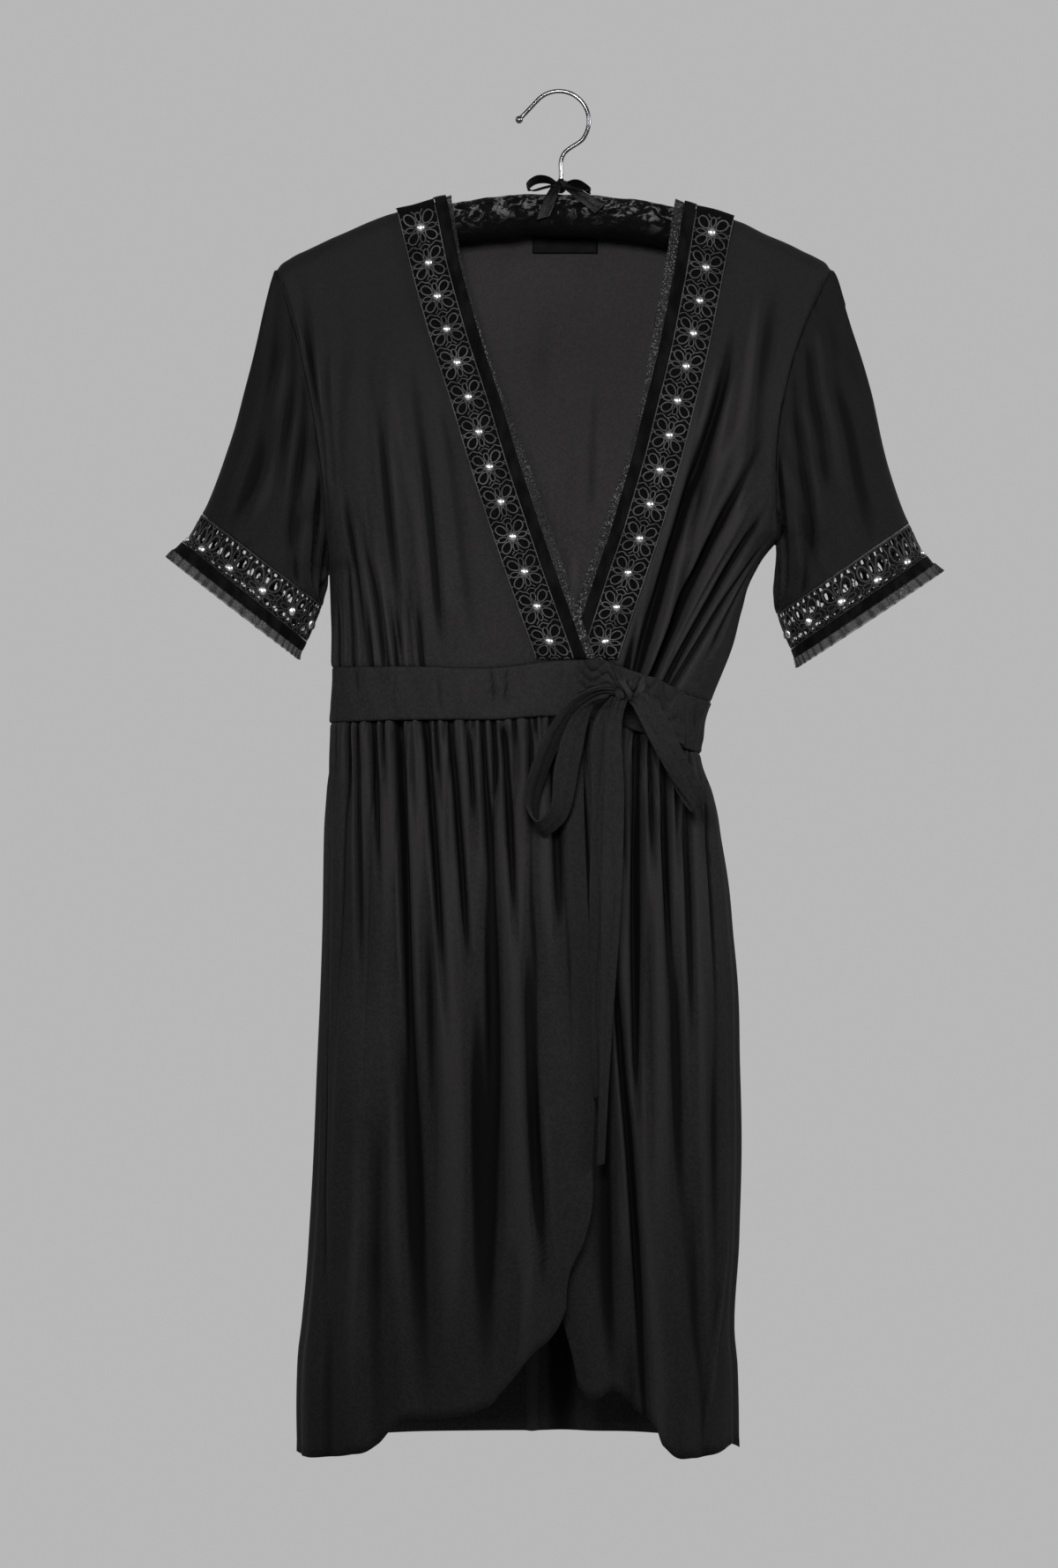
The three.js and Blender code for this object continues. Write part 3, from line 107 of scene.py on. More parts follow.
# %% A tree of nodes
class Nodes:
    def __init__(self, tree):
        self.tree = tree

    def add(self, kind, settings=None, sockets=None, output=0):
        """Any node: its settings are set first, then its sockets get values or links."""
        node = self.tree.nodes.new(kind)
        for key, value in (settings or {}).items():
            if key == "stops":
                for i, (place, color) in enumerate(value):
                    stop = node.color_ramp.elements[i] if i < 2 else node.color_ramp.elements.new(place)
                    stop.position = place
                    stop.color = (*color, 1)
            else:
                setattr(node, key, value)
        for key, value in (sockets or {}).items():
            if isinstance(value, Value):
                self.tree.links.new(value.socket, node.inputs[key])
            else:
                node.inputs[key].default_value = value
        return Value(self, node.outputs[output])

    def coordinate(self, kind="Object"):
        return self.add("ShaderNodeTexCoord", output=kind)

    def attribute(self, name):
        return self.add("ShaderNodeAttribute", {"attribute_name": name}, output="Fac")

    def parts(self, vector):
        split = self.add("ShaderNodeSeparateXYZ", sockets={0: vector}).socket.node
        return [Value(self, split.outputs[i]) for i in range(3)]

    def scaled(self, vector, scale):
        return self.add("ShaderNodeMapping", sockets={"Vector": vector, "Scale": scale})

    def noise(self, vector, scale, detail=2.0, roughness=0.5, distortion=0.0):
        return self.add("ShaderNodeTexNoise", sockets={
            "Vector": vector, "Scale": scale, "Detail": detail, "Roughness": roughness,
            "Distortion": distortion})

    def net(self, vector, scale, thread, edge):
        """The threads of a net: 1 on a thread and 0 in its holes."""
        cells = self.add("ShaderNodeTexVoronoi", {"feature": "DISTANCE_TO_EDGE"},
                         {"Vector": vector, "Scale": scale})
        return cells.between(thread, edge, 1, 0)

    def mix(self, share, first, second):
        return self.add("ShaderNodeMix", {"data_type": "RGBA"}, {0: share, 6: first, 7: second}, output=2)

    def ramp(self, value, *stops):
        return self.add("ShaderNodeValToRGB", {"stops": stops}, {0: value})

    def bump(self, height, strength, distance, normal=None):
        sockets = {"Height": height, "Strength": strength, "Distance": distance}
        if normal:
            sockets["Normal"] = normal
        return self.add("ShaderNodeBump", sockets=sockets)


print("a tree of nodes adds", [name for name in vars(Nodes) if not name.startswith("_")])


# %% A finish
class Finish(Nodes):
    """A material with one Principled shader. Its constants are set, and feed links what varies."""

    def __init__(self, name, constants):
        self.material = bpy.data.materials.new(name)
        self.material.use_nodes = True
        super().__init__(self.material.node_tree)
        self.shader = self.tree.nodes["Principled BSDF"]
        for socket, value in constants.items():
            self.shader.inputs[socket].default_value = value

    def feed(self, **links):
        for name, value in links.items():
            self.tree.links.new(value.socket, self.shader.inputs[name.replace("_", " ")])
        return self.material


def shade(color, times=1.0):
    """A colour with its alpha, made lighter or darker."""
    return (*(part * times for part in color), 1)


print("half of a grey:", shade((0.2, 0.2, 0.2), 0.5))

# %% [markdown]
# ## Camera, floor and light
# The dress hangs in front of a plain pale surround. A long lens 2.4 m away sees it as the eye would
# from across a room. A softbox in front and a little above lights the whole dress evenly, and a weak one
# on each side draws the edges of the folds. The surround is darker behind the camera, where nobody looks
# but the metal mirrors it, so that the wire keeps its dark lines.

# %% Camera
MM = 0.001                      # sizes are written in millimetres, and Blender works in metres
EYE = (-23.8, -2400.0, -548.5)
FRAME_TALL = 1245.3             # what the picture's height takes in at the hanger
SENSOR = 36.0

camera_data = bpy.data.cameras.new("camera")
camera_data.sensor_width = SENSOR
camera_data.lens = SENSOR * -EYE[1] / FRAME_TALL
camera = bpy.data.objects.new("camera", camera_data)
camera.location = Vector(EYE) * MM
camera.rotation_euler = (math.pi / 2, 0, 0)
bpy.context.scene.collection.objects.link(camera)
bpy.context.scene.camera = camera
bpy.context.scene.view_settings.view_transform = "Standard"
print("lens", round(camera_data.lens, 1), "mm")


# %% Floor and surround
FLOOR_Z = -1900
FLOOR_HALF = 2500
FLOOR_PAINT = Finish("floor_paint", {"Base Color": shade((0.62, 0.61, 0.60)), "Roughness": 0.8}).material
floor_form = bmesh.new()
bmesh.ops.create_grid(floor_form, x_segments=1, y_segments=1, size=FLOOR_HALF * MM)
bmesh.ops.translate(floor_form, verts=floor_form.verts, vec=(0, 0, FLOOR_Z * MM))
floor_mesh = bpy.data.meshes.new("floor")
floor_form.to_mesh(floor_mesh)
floor_form.free()
floor = bpy.data.objects.new("floor", floor_mesh)
floor_mesh.materials.append(FLOOR_PAINT)
bpy.context.scene.collection.objects.link(floor)

MIRRORED_GREY = shade((0.14, 0.14, 0.145))
SURROUND_GREY = shade((0.475, 0.475, 0.48))
world = bpy.data.worlds.new("surround")
bpy.context.scene.world = world
world.use_nodes = True
surround = Nodes(world.node_tree)
away = surround.parts(surround.coordinate("Generated"))[1]
grey = surround.mix(away.between(-0.3, 0.6, way="LINEAR"), MIRRORED_GREY, SURROUND_GREY)
background = world.node_tree.nodes["Background"]
background.inputs["Strength"].default_value = 1.0
world.node_tree.links.new(grey.socket, background.inputs["Color"])
print("floor at", FLOOR_Z, "mm")


# %% Lights
def softbox(name, place, aim, size, watts, color, spread=180):
    lamp = bpy.data.lights.new(name, "AREA")
    lamp.size = size * MM
    lamp.energy = watts
    lamp.color = color
    lamp.spread = math.radians(spread)
    holder = bpy.data.objects.new(name, lamp)
    holder.location = Vector(place) * MM
    holder.rotation_euler = (Vector(aim) - Vector(place)).to_track_quat("-Z", "Y").to_euler()
    bpy.context.scene.collection.objects.link(holder)


CHEST = (0, 0, -480)
softbox("key_light", (-110, -1500, 20), (30, 0, -400), 420, 4.4, (1.0, 0.985, 0.975), 76)
softbox("left_light", (-1900, -1050, 500), CHEST, 600, 8, (1.0, 0.99, 0.98))
softbox("right_light", (2000, -900, 400), CHEST, 600, 22, (0.98, 0.99, 1.0))

# %% [markdown]
# ## The form of the hanging dress
# A dress with nobody in it is a flat tube. Its outline from the front comes from a short table of
# heights and widths, and its depth from another. In between, each height is a squared ellipse, so one
# function gives the depth of the cloth at any place seen from the front. Panels, trims and folds all
# stand on that function and so they fit each other.

# %% Soft steps and smooth lines through tables
def smooth(t):
    s = np.clip(t, 0, 1)
    return s * s * (3 - 2 * s)


def lerp(a, b, t):
    return a + (b - a) * t


def table(columns, *rows):
    return {name: np.array(values, float) for name, values in zip(columns.split(), zip(*rows))}


def track(rows, source, target):
    """A smooth line through one column of a table, read against another column."""
    order = np.argsort(rows[source])
    x, y = rows[source][order], rows[target][order]
    before = np.maximum(np.arange(len(x)) - 1, 0)
    after = np.minimum(np.arange(len(x)) + 1, len(x) - 1)
    slope = (y[after] - y[before]) / (x[after] - x[before])

    def follow(at):
        at = np.clip(at, x[0], x[-1])
        i = np.clip(np.searchsorted(x, at, side="right") - 1, 0, len(x) - 2)
        span = x[i + 1] - x[i]
        t = (at - x[i]) / span
        return lerp(y[i] + slope[i] * span * t, y[i + 1] - slope[i + 1] * span * (1 - t), smooth(t))

    return follow


print("a soft step:", np.round(smooth(np.linspace(0, 1, 5)), 2))


# %% Outline tables
SEAM = 0.4                      # clear gap between two pieces that are sewn together
BODY_ROUND = 2.3                # 2 is an ellipse, more is squarer
SHOULDER_HALF = 19              # depth in front of the hanger's middle line, on top
SHOULDER_TURN = 18              # height in which the cloth turns over the hanger
SHOULDER_REACH = 130            # height in which the shoulders widen into the bust
SHOULDER_MIDDLE = -4

TRUNK = table(
    "z left right",
    (-354, -183, 175), (-378, -182, 157), (-410, -181, 145), (-441, -180, 137), (-486, -181, 120),
    (-512, -182, 114), (-530, -182, 113), (-556, -183, 121), (-591, -185, 127), (-661, -187, 136.5),
    (-766, -191, 142), (-906, -197.5, 141.5), (-976, -203, 137.5), (-1011, -206.5, 140),
    (-1085, -206.5, 141),
)
PROFILE = table(
    "z front back",
    (-100, 24, 22), (-200, 38, 32), (-300, 46, 38), (-380, 49, 40), (-512, 50, 42), (-580, 55, 47),
    (-700, 61, 53), (-850, 66, 58), (-1085, 70, 63),
)
SHOULDER = table(
    "out z",
    (0, -77), (30, -78.2), (84, -85), (111, -92), (136, -98.5), (168, -112), (197, -125.5),
    (212, -133.5), (220, -140),
)
ARMHOLES = {
    "left": dict(topX=-224, topZ=-140, lowX=-182, lowZ=-378, inward=10, front=34, back=30),
    "right": dict(topX=216, topZ=-140, lowX=175, lowZ=-354, inward=-20, front=34, back=30),
}
shoulder_line = track(SHOULDER, "out", "z")
trunk_x = {side: track(TRUNK, "z", side) for side in ARMHOLES}
profile = {face: track(PROFILE, "z", face) for face in ("front", "back")}
print("width of the waist:", np.round(trunk_x["right"](-480.0) - trunk_x["left"](-480.0)))


# %% Outline and depth at any place
def shoulder_z(x):
    return shoulder_line(np.abs(x - SHOULDER_MIDDLE))


def arm_share(side, z):
    hole = ARMHOLES[side]
    return np.clip((hole["topZ"] - z) / (hole["topZ"] - hole["lowZ"]), 0, 1)


def edge_x(side, z):
    hole = ARMHOLES[side]
    share = arm_share(side, z)
    arm = lerp(hole["topX"], hole["lowX"], share) + hole["inward"] * 4 * share * (1 - share)
    return np.where(z <= hole["lowZ"], trunk_x[side](z), arm)


def rim_depth(face, side, z, out):
    """Depth of an armhole's edge. It is round at the seam and fades softly inside the panel."""
    hole = ARMHOLES[side]
    share = arm_share(side, z)
    bow = 4 * share * (1 - share)
    return hole[face] * lerp(bow ** 1.3, np.sqrt(bow), smooth((out - 0.7) / 0.3))


def depth_at(face, x, z):
    left, right = edge_x("left", z), edge_x("right", z)
    middle, half = (left + right) / 2, (right - left) / 2
    out = np.clip(np.abs(x - middle) / half, 0, 1)
    rim = np.where(x < middle, rim_depth(face, "left", z, out), rim_depth(face, "right", z, out))
    body = rim + (profile[face](z) - rim) * (1 - out ** BODY_ROUND) ** (1 / BODY_ROUND)
    drop = shoulder_z(x) - z
    turn = np.clip(drop / SHOULDER_TURN, 0, 1)
    over = np.sqrt(1 - (1 - turn) ** 2)
    return over * lerp(SHOULDER_HALF, body, smooth((drop - SHOULDER_TURN) / SHOULDER_REACH))


def points(x, y, z):
    return np.stack(np.broadcast_arrays(x, y, z), axis=-1).astype(float)


def skin(face, x, z):
    depth = depth_at(face, x, z) + SEAM / 2
    return points(x, -depth if face == "front" else depth, z)


print("depth at the waist", np.round(depth_at("front", np.array([-20.0]), np.array([-480.0])), 1))

# %% [markdown]
# ## Cutting and bending a panel
# A panel starts as a flat grid of squares. Each corner knows how far it is across the panel and down
# it, and a place function sends it to its spot on the dress. A lift function then raises folds,
# gathers and hems along the cloth's own direction outwards. A live Solidify modifier gives the wall.
# Black cloth shows its folds mostly by how dark their hollows are, and a weak light leaves that out. So
# each corner also remembers whether it lies in a hollow or on a crest, and the crepe paints shade into its
# hollows and a highlight on its crests from that.


# %% One piece of cloth from a grid
ROOT = "root"


def finish_piece(piece, finish, slot, nodes=()):
    piece.data.materials.clear()
    piece.data.materials.append(finish)
    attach(piece, ROOT)
    if nodes:
        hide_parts(*nodes)
    return piece


def link_mesh(name, form):
    mesh = bpy.data.meshes.new(name)
    form.to_mesh(mesh)
    form.free()
    mesh.polygons.foreach_set("use_smooth", np.ones(len(mesh.polygons), bool))
    piece = bpy.data.objects.new(name, mesh)
    bpy.context.scene.collection.objects.link(piece)
    return piece


def grid_form(columns, rows):
    form = bmesh.new()
    form.loops.layers.uv.new("UVMap")
    bmesh.ops.create_grid(form, x_segments=columns, y_segments=rows, size=0.5, calc_uvs=True)
    return form


def directions(place, u, v, wrap):
    """The way outwards at each corner, before its side is settled."""
    step = 1e-3
    u0, u1 = (u - step, u + step) if wrap else (np.maximum(u - step, 0), np.minimum(u + step, 1))
    v0, v1 = np.maximum(v - step, 0), np.minimum(v + step, 1)
    way = np.cross(place(u1, v) - place(u0, v), place(u, v1) - place(u, v0))
    return way / np.maximum(np.linalg.norm(way, axis=-1, keepdims=True), 1e-9)


def outward_sign(place, inside, wrap):
    """1 where directions lead away from the inside, and -1 where they lead into it."""
    middle = np.array([0.5])
    probe = place(middle, middle)[0] - np.array(inside, float)
    return 1 if np.dot(directions(place, middle, middle, wrap)[0], probe) > 0 else -1


print("all pieces ride on", ROOT)


# %% What a piece of cloth knows about itself
NEAR, NEAR_FULL = 7, 2.4        # columns looked at on each side, and the height difference that counts
WIDE, WIDE_FULL = 24, 4         # fully, in millimetres: once for narrow folds and once for broad ones
WIDE_SHARE = 0.9


def relief_of(rise, reach, full):
    """How each corner of a grid stands to its row's neighbours: -1 in a hollow, 1 on a crest."""
    wide = np.pad(rise, ((0, 0), (reach, reach)), mode="edge")
    total = np.cumsum(np.pad(wide, ((0, 0), (1, 0))), axis=1)
    around = (total[:, 2 * reach + 1:] - total[:, :-2 * reach - 1]) / (2 * reach + 1)
    return np.clip((rise - around) / full, -1, 1)


def note_relief(form, rise, order, rows_columns):
    """Keeps in every corner whether it lies in a hollow or on a crest, for the finish to read."""
    lattice = rise[order].reshape(rows_columns)
    relief = np.zeros(len(rise))
    both = relief_of(lattice, NEAR, NEAR_FULL) + WIDE_SHARE * relief_of(lattice, WIDE, WIDE_FULL)
    relief[order] = both.ravel()
    layer = form.verts.layers.float.new("relief")
    for vert in form.verts:
        vert[layer] = relief[vert.index]


def flat_size(shape, order, rows_columns, closed):
    """Width and length along the cloth itself. A tube's width is the mean of its rows."""
    lattice = shape[order].reshape(*rows_columns, 3)
    across = np.linalg.norm(np.diff(lattice, axis=1), axis=-1).sum(axis=1)
    along = np.linalg.norm(np.diff(lattice, axis=0), axis=-1).sum(axis=0)
    return across.mean() if closed else across.max(), along.max()


def note_uv(form, u, v):
    layer = form.loops.layers.uv.active
    for face in form.faces:
        for loop in face.loops:
            loop[layer].uv = (u[loop.vert.index], v[loop.vert.index])


print("relief of a ridge:", np.round(relief_of(np.array([[0, 0, 1, 2, 1, 0, 0]]), 2, NEAR_FULL), 1))


# %% A wall of cloth
CLOTH_WALL = 0.8
SIDE_SEAM = 0.02                # front and back meet here, so no light shows between them
cut_sizes = {}


def cloth(name, grid, place, inside, lift=None, spread=None, wall=CLOTH_WALL, closed=False, half=None):
    """A sheet of columns by rows squares.

    place gives the spot at u across and v down, both from 0 to 1, and lift moves it outwards from there.
    spread brings rows and columns closer together where folds are fine. closed makes a tube.
    """
    form = grid_form(*grid)
    form.verts.ensure_lookup_table()
    flat = np.array([vert.co for vert in form.verts])
    order = np.lexsort((np.round(flat[:, 0], 6), -np.round(flat[:, 1], 6)))
    rows_columns = (grid[1] + 1, grid[0] + 1)
    u, v = flat[:, 0] + 0.5, 0.5 - flat[:, 1]
    if spread:
        u, v = spread(u, v)
    spot = place(u, v)
    outward = outward_sign(place, inside, closed)
    rise = np.zeros(len(u))
    if lift:
        rise = np.broadcast_to(lift(u, v, spot), u.shape)
        spot = spot + directions(place, u, v, closed) * outward * rise[:, None]
    if half == "front":
        spot[:, 1] = np.minimum(spot[:, 1], -SIDE_SEAM)
    if half == "back":
        spot[:, 1] = np.maximum(spot[:, 1], SIDE_SEAM)
    for vert, corner in zip(form.verts, spot * MM):
        vert.co = corner
    note_relief(form, rise, order, rows_columns)
    across, along = flat_size(spot, order, rows_columns, closed)
    note_uv(form, u * across * MM, v * along * MM)
    # v runs down the panel, so the grid's faces look inwards where the directions lead outwards
    if outward > 0:
        bmesh.ops.reverse_faces(form, faces=form.faces)
    if closed:
        bmesh.ops.remove_doubles(form, verts=form.verts, dist=1e-6)
    cut_sizes[name] = (across * MM, along * MM, sum(face.calc_area() for face in form.faces))
    piece = link_mesh(name, form)
    if wall:
        solidify = piece.modifiers.new("wall", "SOLIDIFY")
        solidify.thickness = wall * MM
        solidify.offset = -1
    return piece


print("a wall of crepe is", CLOTH_WALL, "mm thick")


# %% Its two sides and its size as a sheet
LEAST = 0.0101                  # a declared sheet is at least 10 mm wide, so narrow trims round up


def show_wrong_side(piece, finish):
    """Gives the inner side of a wall a finish of its own."""
    piece.data.materials.append(finish)
    piece.modifiers["wall"].material_offset = 1


def declare_sheet(piece):
    across, along, area = cut_sizes[piece.name]
    across, along = max(across, LEAST), max(along, LEAST)
    min(area, across * along)
    print(f"{piece.name}: cut {across * 1000:.0f} by {along * 1000:.0f} mm, {area * 1e4:.0f} cm2")


def panel(name, grid, place, inside, look, nodes, held, rests_on, lift=None, **cut):
    piece = finish_piece(cloth(name, grid, place, inside, lift, **cut), *look, nodes)
    declare_sheet(piece)
    return piece


print("a declared sheet is at least", LEAST * 1000, "mm wide")

# %% [markdown]
# ## Folds and gathers
# Real folds are uneven. A fold here is a trough with a low ridge on each side, as cloth pushed in one
# place stands out beside it. Gathers are narrow valleys between round ridges: each has its own length,
# and they hand over to fewer, wider folds on their way down.


# %% Uneven waves
def uneven(seed, lowest, highest, count=5):
    """A wave with no pattern to it, between about -1 and 1."""
    source = np.random.default_rng(seed)
    pace = source.uniform(lowest, highest, count)
    start = source.uniform(0, 2 * math.pi, count)
    share = source.uniform(0.5, 1, count)
    share /= share.sum()

    def wave(t):
        t = np.asarray(t)[..., None]
        return (share * np.cos(2 * math.pi * pace * t + start)).sum(axis=-1) * 1.6

    return wave


def ripples(seed, across, down, count=9):
    """A soft unevenness over a whole panel, with its waves longer one way than the other."""
    source = np.random.default_rng(seed)
    pace_u = source.uniform(across[0], across[1], count)
    pace_v = source.uniform(down[0], down[1], count) * source.choice([-1, 1], count)
    start = source.uniform(0, 2 * math.pi, count)

    def surface(u, v):
        turns = np.asarray(u)[..., None] * pace_u + np.asarray(v)[..., None] * pace_v
        return np.cos(2 * math.pi * turns + start).sum(axis=-1) / math.sqrt(count)

    return surface


def random_line(seed, t):
    """One random share for each whole number, and a soft line between them."""
    shares = np.random.default_rng(seed).uniform(0, 1, 400)
    low = np.floor(t).astype(int)
    return lerp(shares[low % len(shares)], shares[(low + 1) % len(shares)], smooth(t - low))


print("an uneven wave:", np.round(uneven(1, 0.5, 3)(np.linspace(0, 1, 5)), 2))


# %% Gathers
def gathers(across, down, pitch, reach, depth, seed):
    """across and down in millimetres. reach is how far the longest gather runs."""
    phase = across / pitch + 0.45 * uneven(seed, 0.02, 0.3)(across / pitch)
    ridge = 1.6 * np.abs(np.cos(math.pi * phase)) ** 0.5 - 1
    own = reach * (0.3 + 0.7 * random_line(seed + 1, phase))
    size = 0.55 + 0.45 * random_line(seed + 2, phase + 0.5)
    return depth * size * ridge * (1 - smooth(down / own)) * smooth(down / 2.5 + 0.25)


print("gathers 3 mm from their seam:", np.round(gathers(np.arange(5.0), np.full(5, 3.0), 6, 40, 1, 1), 2))


# %% Folds and grooves
FOLD_COLUMNS = "top low topX lowX deep wide"
FOLD_BOW = 0.04                 # a fold bends to one side by this share of its slant
SOFT_START, SEAM_START = 0.35, 0.06     # share of a fold in which it reaches its depth


def trough(away):
    """The section of a fold, with away in half widths: 1 in the middle and a low ridge beside it."""
    return (1 - 0.4 * away ** 2) * np.exp(-np.abs(away) ** 2.6)


def fold_lift(face, rows, spot, ending=0.3, from_seam=math.inf):
    """ending is the share of a fold in which it fades out. Folds above from_seam start at full depth."""
    out = np.zeros(len(spot))
    x, y, z = spot.T
    for top, low, top_x, low_x, deep, wide in zip(*(rows[name] for name in FOLD_COLUMNS.split())):
        down = (top - z) / (top - low)
        near = (down > 0) & (down < 1)
        if not near.any():
            continue
        bow = FOLD_BOW * (low_x - top_x) * np.sin(math.pi * down[near])
        line = skin(face, lerp(top_x, low_x, down[near]) + bow, z[near])
        away = np.hypot(x[near] - line[:, 0], y[near] - line[:, 1]) / wide
        start = SEAM_START if top > from_seam else SOFT_START
        fade = smooth(down[near] / start) * smooth((1 - down[near]) / ending)
        out[near] -= deep * fade * trough(away)
    return out


def groove(distance, deep, wide):
    return -deep * np.exp(-(distance / wide) ** 2)


TUCK = 1.6                      # how far an edge runs under the waistband


def tucked(inside):
    """Edges that run under the waistband lie deeper than it."""
    return -1.5 * (1 - smooth((inside - TUCK) / 2.2))


print("section of a fold:", np.round(trough(np.linspace(0, 2, 5)), 2))

# %% [markdown]
# ## Crepe
# Viscose crepe is woven from twisted yarns that kink, so its surface is finely pebbled and takes almost
# no shine. Two noises at yarn size make the pebbles, a slow one varies the black as wash and wear do, and
# a little fuzz of paler fibres catches the light. Crests of folds get a painted highlight and their hollows
# painted shade that is nearly black, read from the relief that each corner keeps. The crepe is paler lower
# down than on the shoulders. The wrong side of the cloth is painted paler, as painted light, and the
# sleeves are painted a little darker than the body, as painted shade.


# %% Crepe finish
def make_crepe(name, lighter=1.0, side=1):
    """side is -1 for the wrong side, where a crest of the face is a hollow."""
    finish = Finish(name, {"Sheen Weight": 0.02, "Sheen Roughness": 0.4,
                           "Sheen Tint": shade((0.8, 0.78, 0.8)), "Specular IOR Level": 0.08})
    place = finish.coordinate()
    pebble = finish.noise(finish.scaled(place, (1, 1, 0.72)), 1450, 2, 0.6)
    kink = finish.noise(finish.scaled(place, (1, 1, 0.35)), 640, 1, 0.5, 0.6)
    fade = finish.noise(place, 7, 3, 0.55)
    mottle = finish.noise(place, 420, 3, 0.65)
    fuzz = finish.noise(place, 2300, 0).between(0.70, 0.80)
    relief = finish.attribute("relief") * side
    crest, hollow = relief.between(0.25, 1.1), relief.between(-0.12, -1.1)
    # Paler lower down: the share of pale crepe grows from the shoulders towards the waist
    paler_downwards = finish.parts(place)[2].between(-0.46, -0.2, 1.05, 0.5)
    share = fade.between(0.3, 0.72) * 0.3 + pebble.between(0.38, 0.62) * 0.3
    share = share + mottle.between(0.38, 0.62) * 0.4
    dark = shade((0.0070, 0.0066, 0.0069), lighter)
    pale = shade((0.0172, 0.0162, 0.0169), lighter)
    color = finish.mix(share * paler_downwards, dark, pale)
    color = finish.mix(fuzz * 0.3, color, shade((0.04, 0.039, 0.04)))
    # Painted highlight on the crests of folds, and painted shade, nearly black, in their hollows
    color = finish.mix(crest * 0.3, color, shade((0.032, 0.03, 0.031), lighter))
    color = finish.mix(hollow * 0.93, color, shade((0.0006, 0.0006, 0.0006)))
    rough = fade * 0.16 + pebble * 0.1 + 0.60
    height = pebble * 0.5 + kink * 0.3 + mottle * 0.6
    return finish.feed(Base_Color=color, Roughness=rough, Normal=finish.bump(height, 0.6, 0.0005))


CREPE = make_crepe("crepe")
# The wrong side is a paler copy of the crepe, painted light, with its relief turned over
CREPE_INSIDE_LIT = make_crepe("crepe_inside_lit", 2.1, -1)
# The sleeves are a darker copy of the crepe: painted shade
CREPE_SLEEVE_SHADED = make_crepe("crepe_sleeve_shaded", 0.56)
print("finishes:", CREPE.name, CREPE_INSIDE_LIT.name, CREPE_SLEEVE_SHADED.name)

# %% [markdown]
# ## Velvet
# Velvet's short upright threads drink the light that falls on them. The ribbon is an almost black base
# with a nap that is brushed along its length. Crushed velvet lies in patches that lean different ways, so
# a warped noise paints pale streaks of sheen between dark ones, a painted highlight, on the sides that face
# upwards; the sides that face down get painted shade, nearly black.


# %% Velvet ribbon
def make_velvet():
    finish = Finish("velvet", {"Sheen Weight": 0.02, "Sheen Roughness": 0.35,
                               "Sheen Tint": shade((0.6, 0.6, 0.65)), "Specular IOR Level": 0.04})
    place = finish.coordinate()
    nap = finish.noise(place, 2600, 2, 0.6)
    brushed = finish.noise(finish.scaled(place, (1, 1, 0.4)), 120, 2, 0.5)
    color = finish.mix(brushed.between(0.35, 0.7), shade((0.0014, 0.0014, 0.0016)),
                       shade((0.0046, 0.0045, 0.0050)))
    rough = brushed * 0.15 + 0.8
    return finish.feed(Base_Color=color, Roughness=rough, Normal=finish.bump(nap, 0.7, 0.0003))


VELVET = make_velvet()
print("finish:", VELVET.name)


# %% Crushed velvet of the hanger
def make_crushed_velvet():
    finish = Finish("crushed_velvet", {"Sheen Weight": 0.02, "Sheen Roughness": 0.3,
                                       "Sheen Tint": shade((0.7, 0.7, 0.78)), "Specular IOR Level": 0.06})
    place = finish.coordinate()
    warp = finish.noise(place, 38, 4, 0.62, 1.6)
    patch = finish.noise(finish.scaled(place, (0.7, 1, 1)), 95, 3, 0.6, 2.2)
    nap = finish.noise(place, 1900, 2, 0.6)
    crush = patch * 0.65 + warp * 0.35
    # Painted light: the ramp's pale stop is a painted highlight of sheen, shown only where the pad faces up,
    # and the underside gets painted shade
    up = finish.parts(finish.coordinate("Normal"))[2].between(-0.45, 0.35)
    color = finish.ramp(crush, (0.42, (0.0008, 0.0008, 0.001)), (0.52, (0.003, 0.003, 0.0034)),
                        (0.59, (0.11, 0.108, 0.113)), (0.66, (0.006, 0.006, 0.007)))
    color = finish.mix(up, shade((0.0012, 0.0012, 0.0014)), color)
    rough = crush.between(0.42, 0.62, 0.85, 0.6)
    normal = finish.bump(crush, 0.8, 0.0022, finish.bump(nap, 0.5, 0.0003))
    return finish.feed(Base_Color=color, Roughness=rough, Normal=normal)


CRUSHED = make_crushed_velvet()
print("finish:", CRUSHED.name)

# %% [markdown]
# ## Lace and tulle
# The lace's cords are a firm shiny thread. At the neck they lie on a dark ground, and at the cuffs on a
# net that is open inside the petals and in a ladder of small holes along its seam, where light comes
# through. A net is too fine to model, so its alpha does the work: inequalities on the cloth's own
# coordinates draw the openings. Tulle is denser where it lies in folds.


# %% Lace cord and its grounds
def make_cord(name, pale):
    finish = Finish(name, {"Sheen Weight": 0.04, "Sheen Roughness": 0.4, "Specular IOR Level": 0.25})
    place = finish.coordinate()
    thread = finish.noise(place, 1500, 1, 0.5)
    patch = finish.noise(place, 60, 2, 0.5)
    color = finish.mix(patch.between(0.35, 0.7), shade((0.45, 0.44, 0.445), pale),
                       shade((1, 0.975, 0.975), pale))
    rough = thread * 0.25 + 0.42
    return finish.feed(Base_Color=color, Roughness=rough, Normal=finish.bump(thread, 0.8, 0.0004))


def make_ground():
    finish = Finish("lace_ground", {"Specular IOR Level": 0.03})
    net = finish.net(finish.coordinate(), 900.0, 0.04, 0.12)
    color = finish.mix(net, shade((0.001, 0.001, 0.0012)), shade((0.005, 0.0049, 0.005)))
    return finish.feed(Base_Color=color, Roughness=net * -0.15 + 0.9, Normal=finish.bump(net, 0.6, 0.0003))


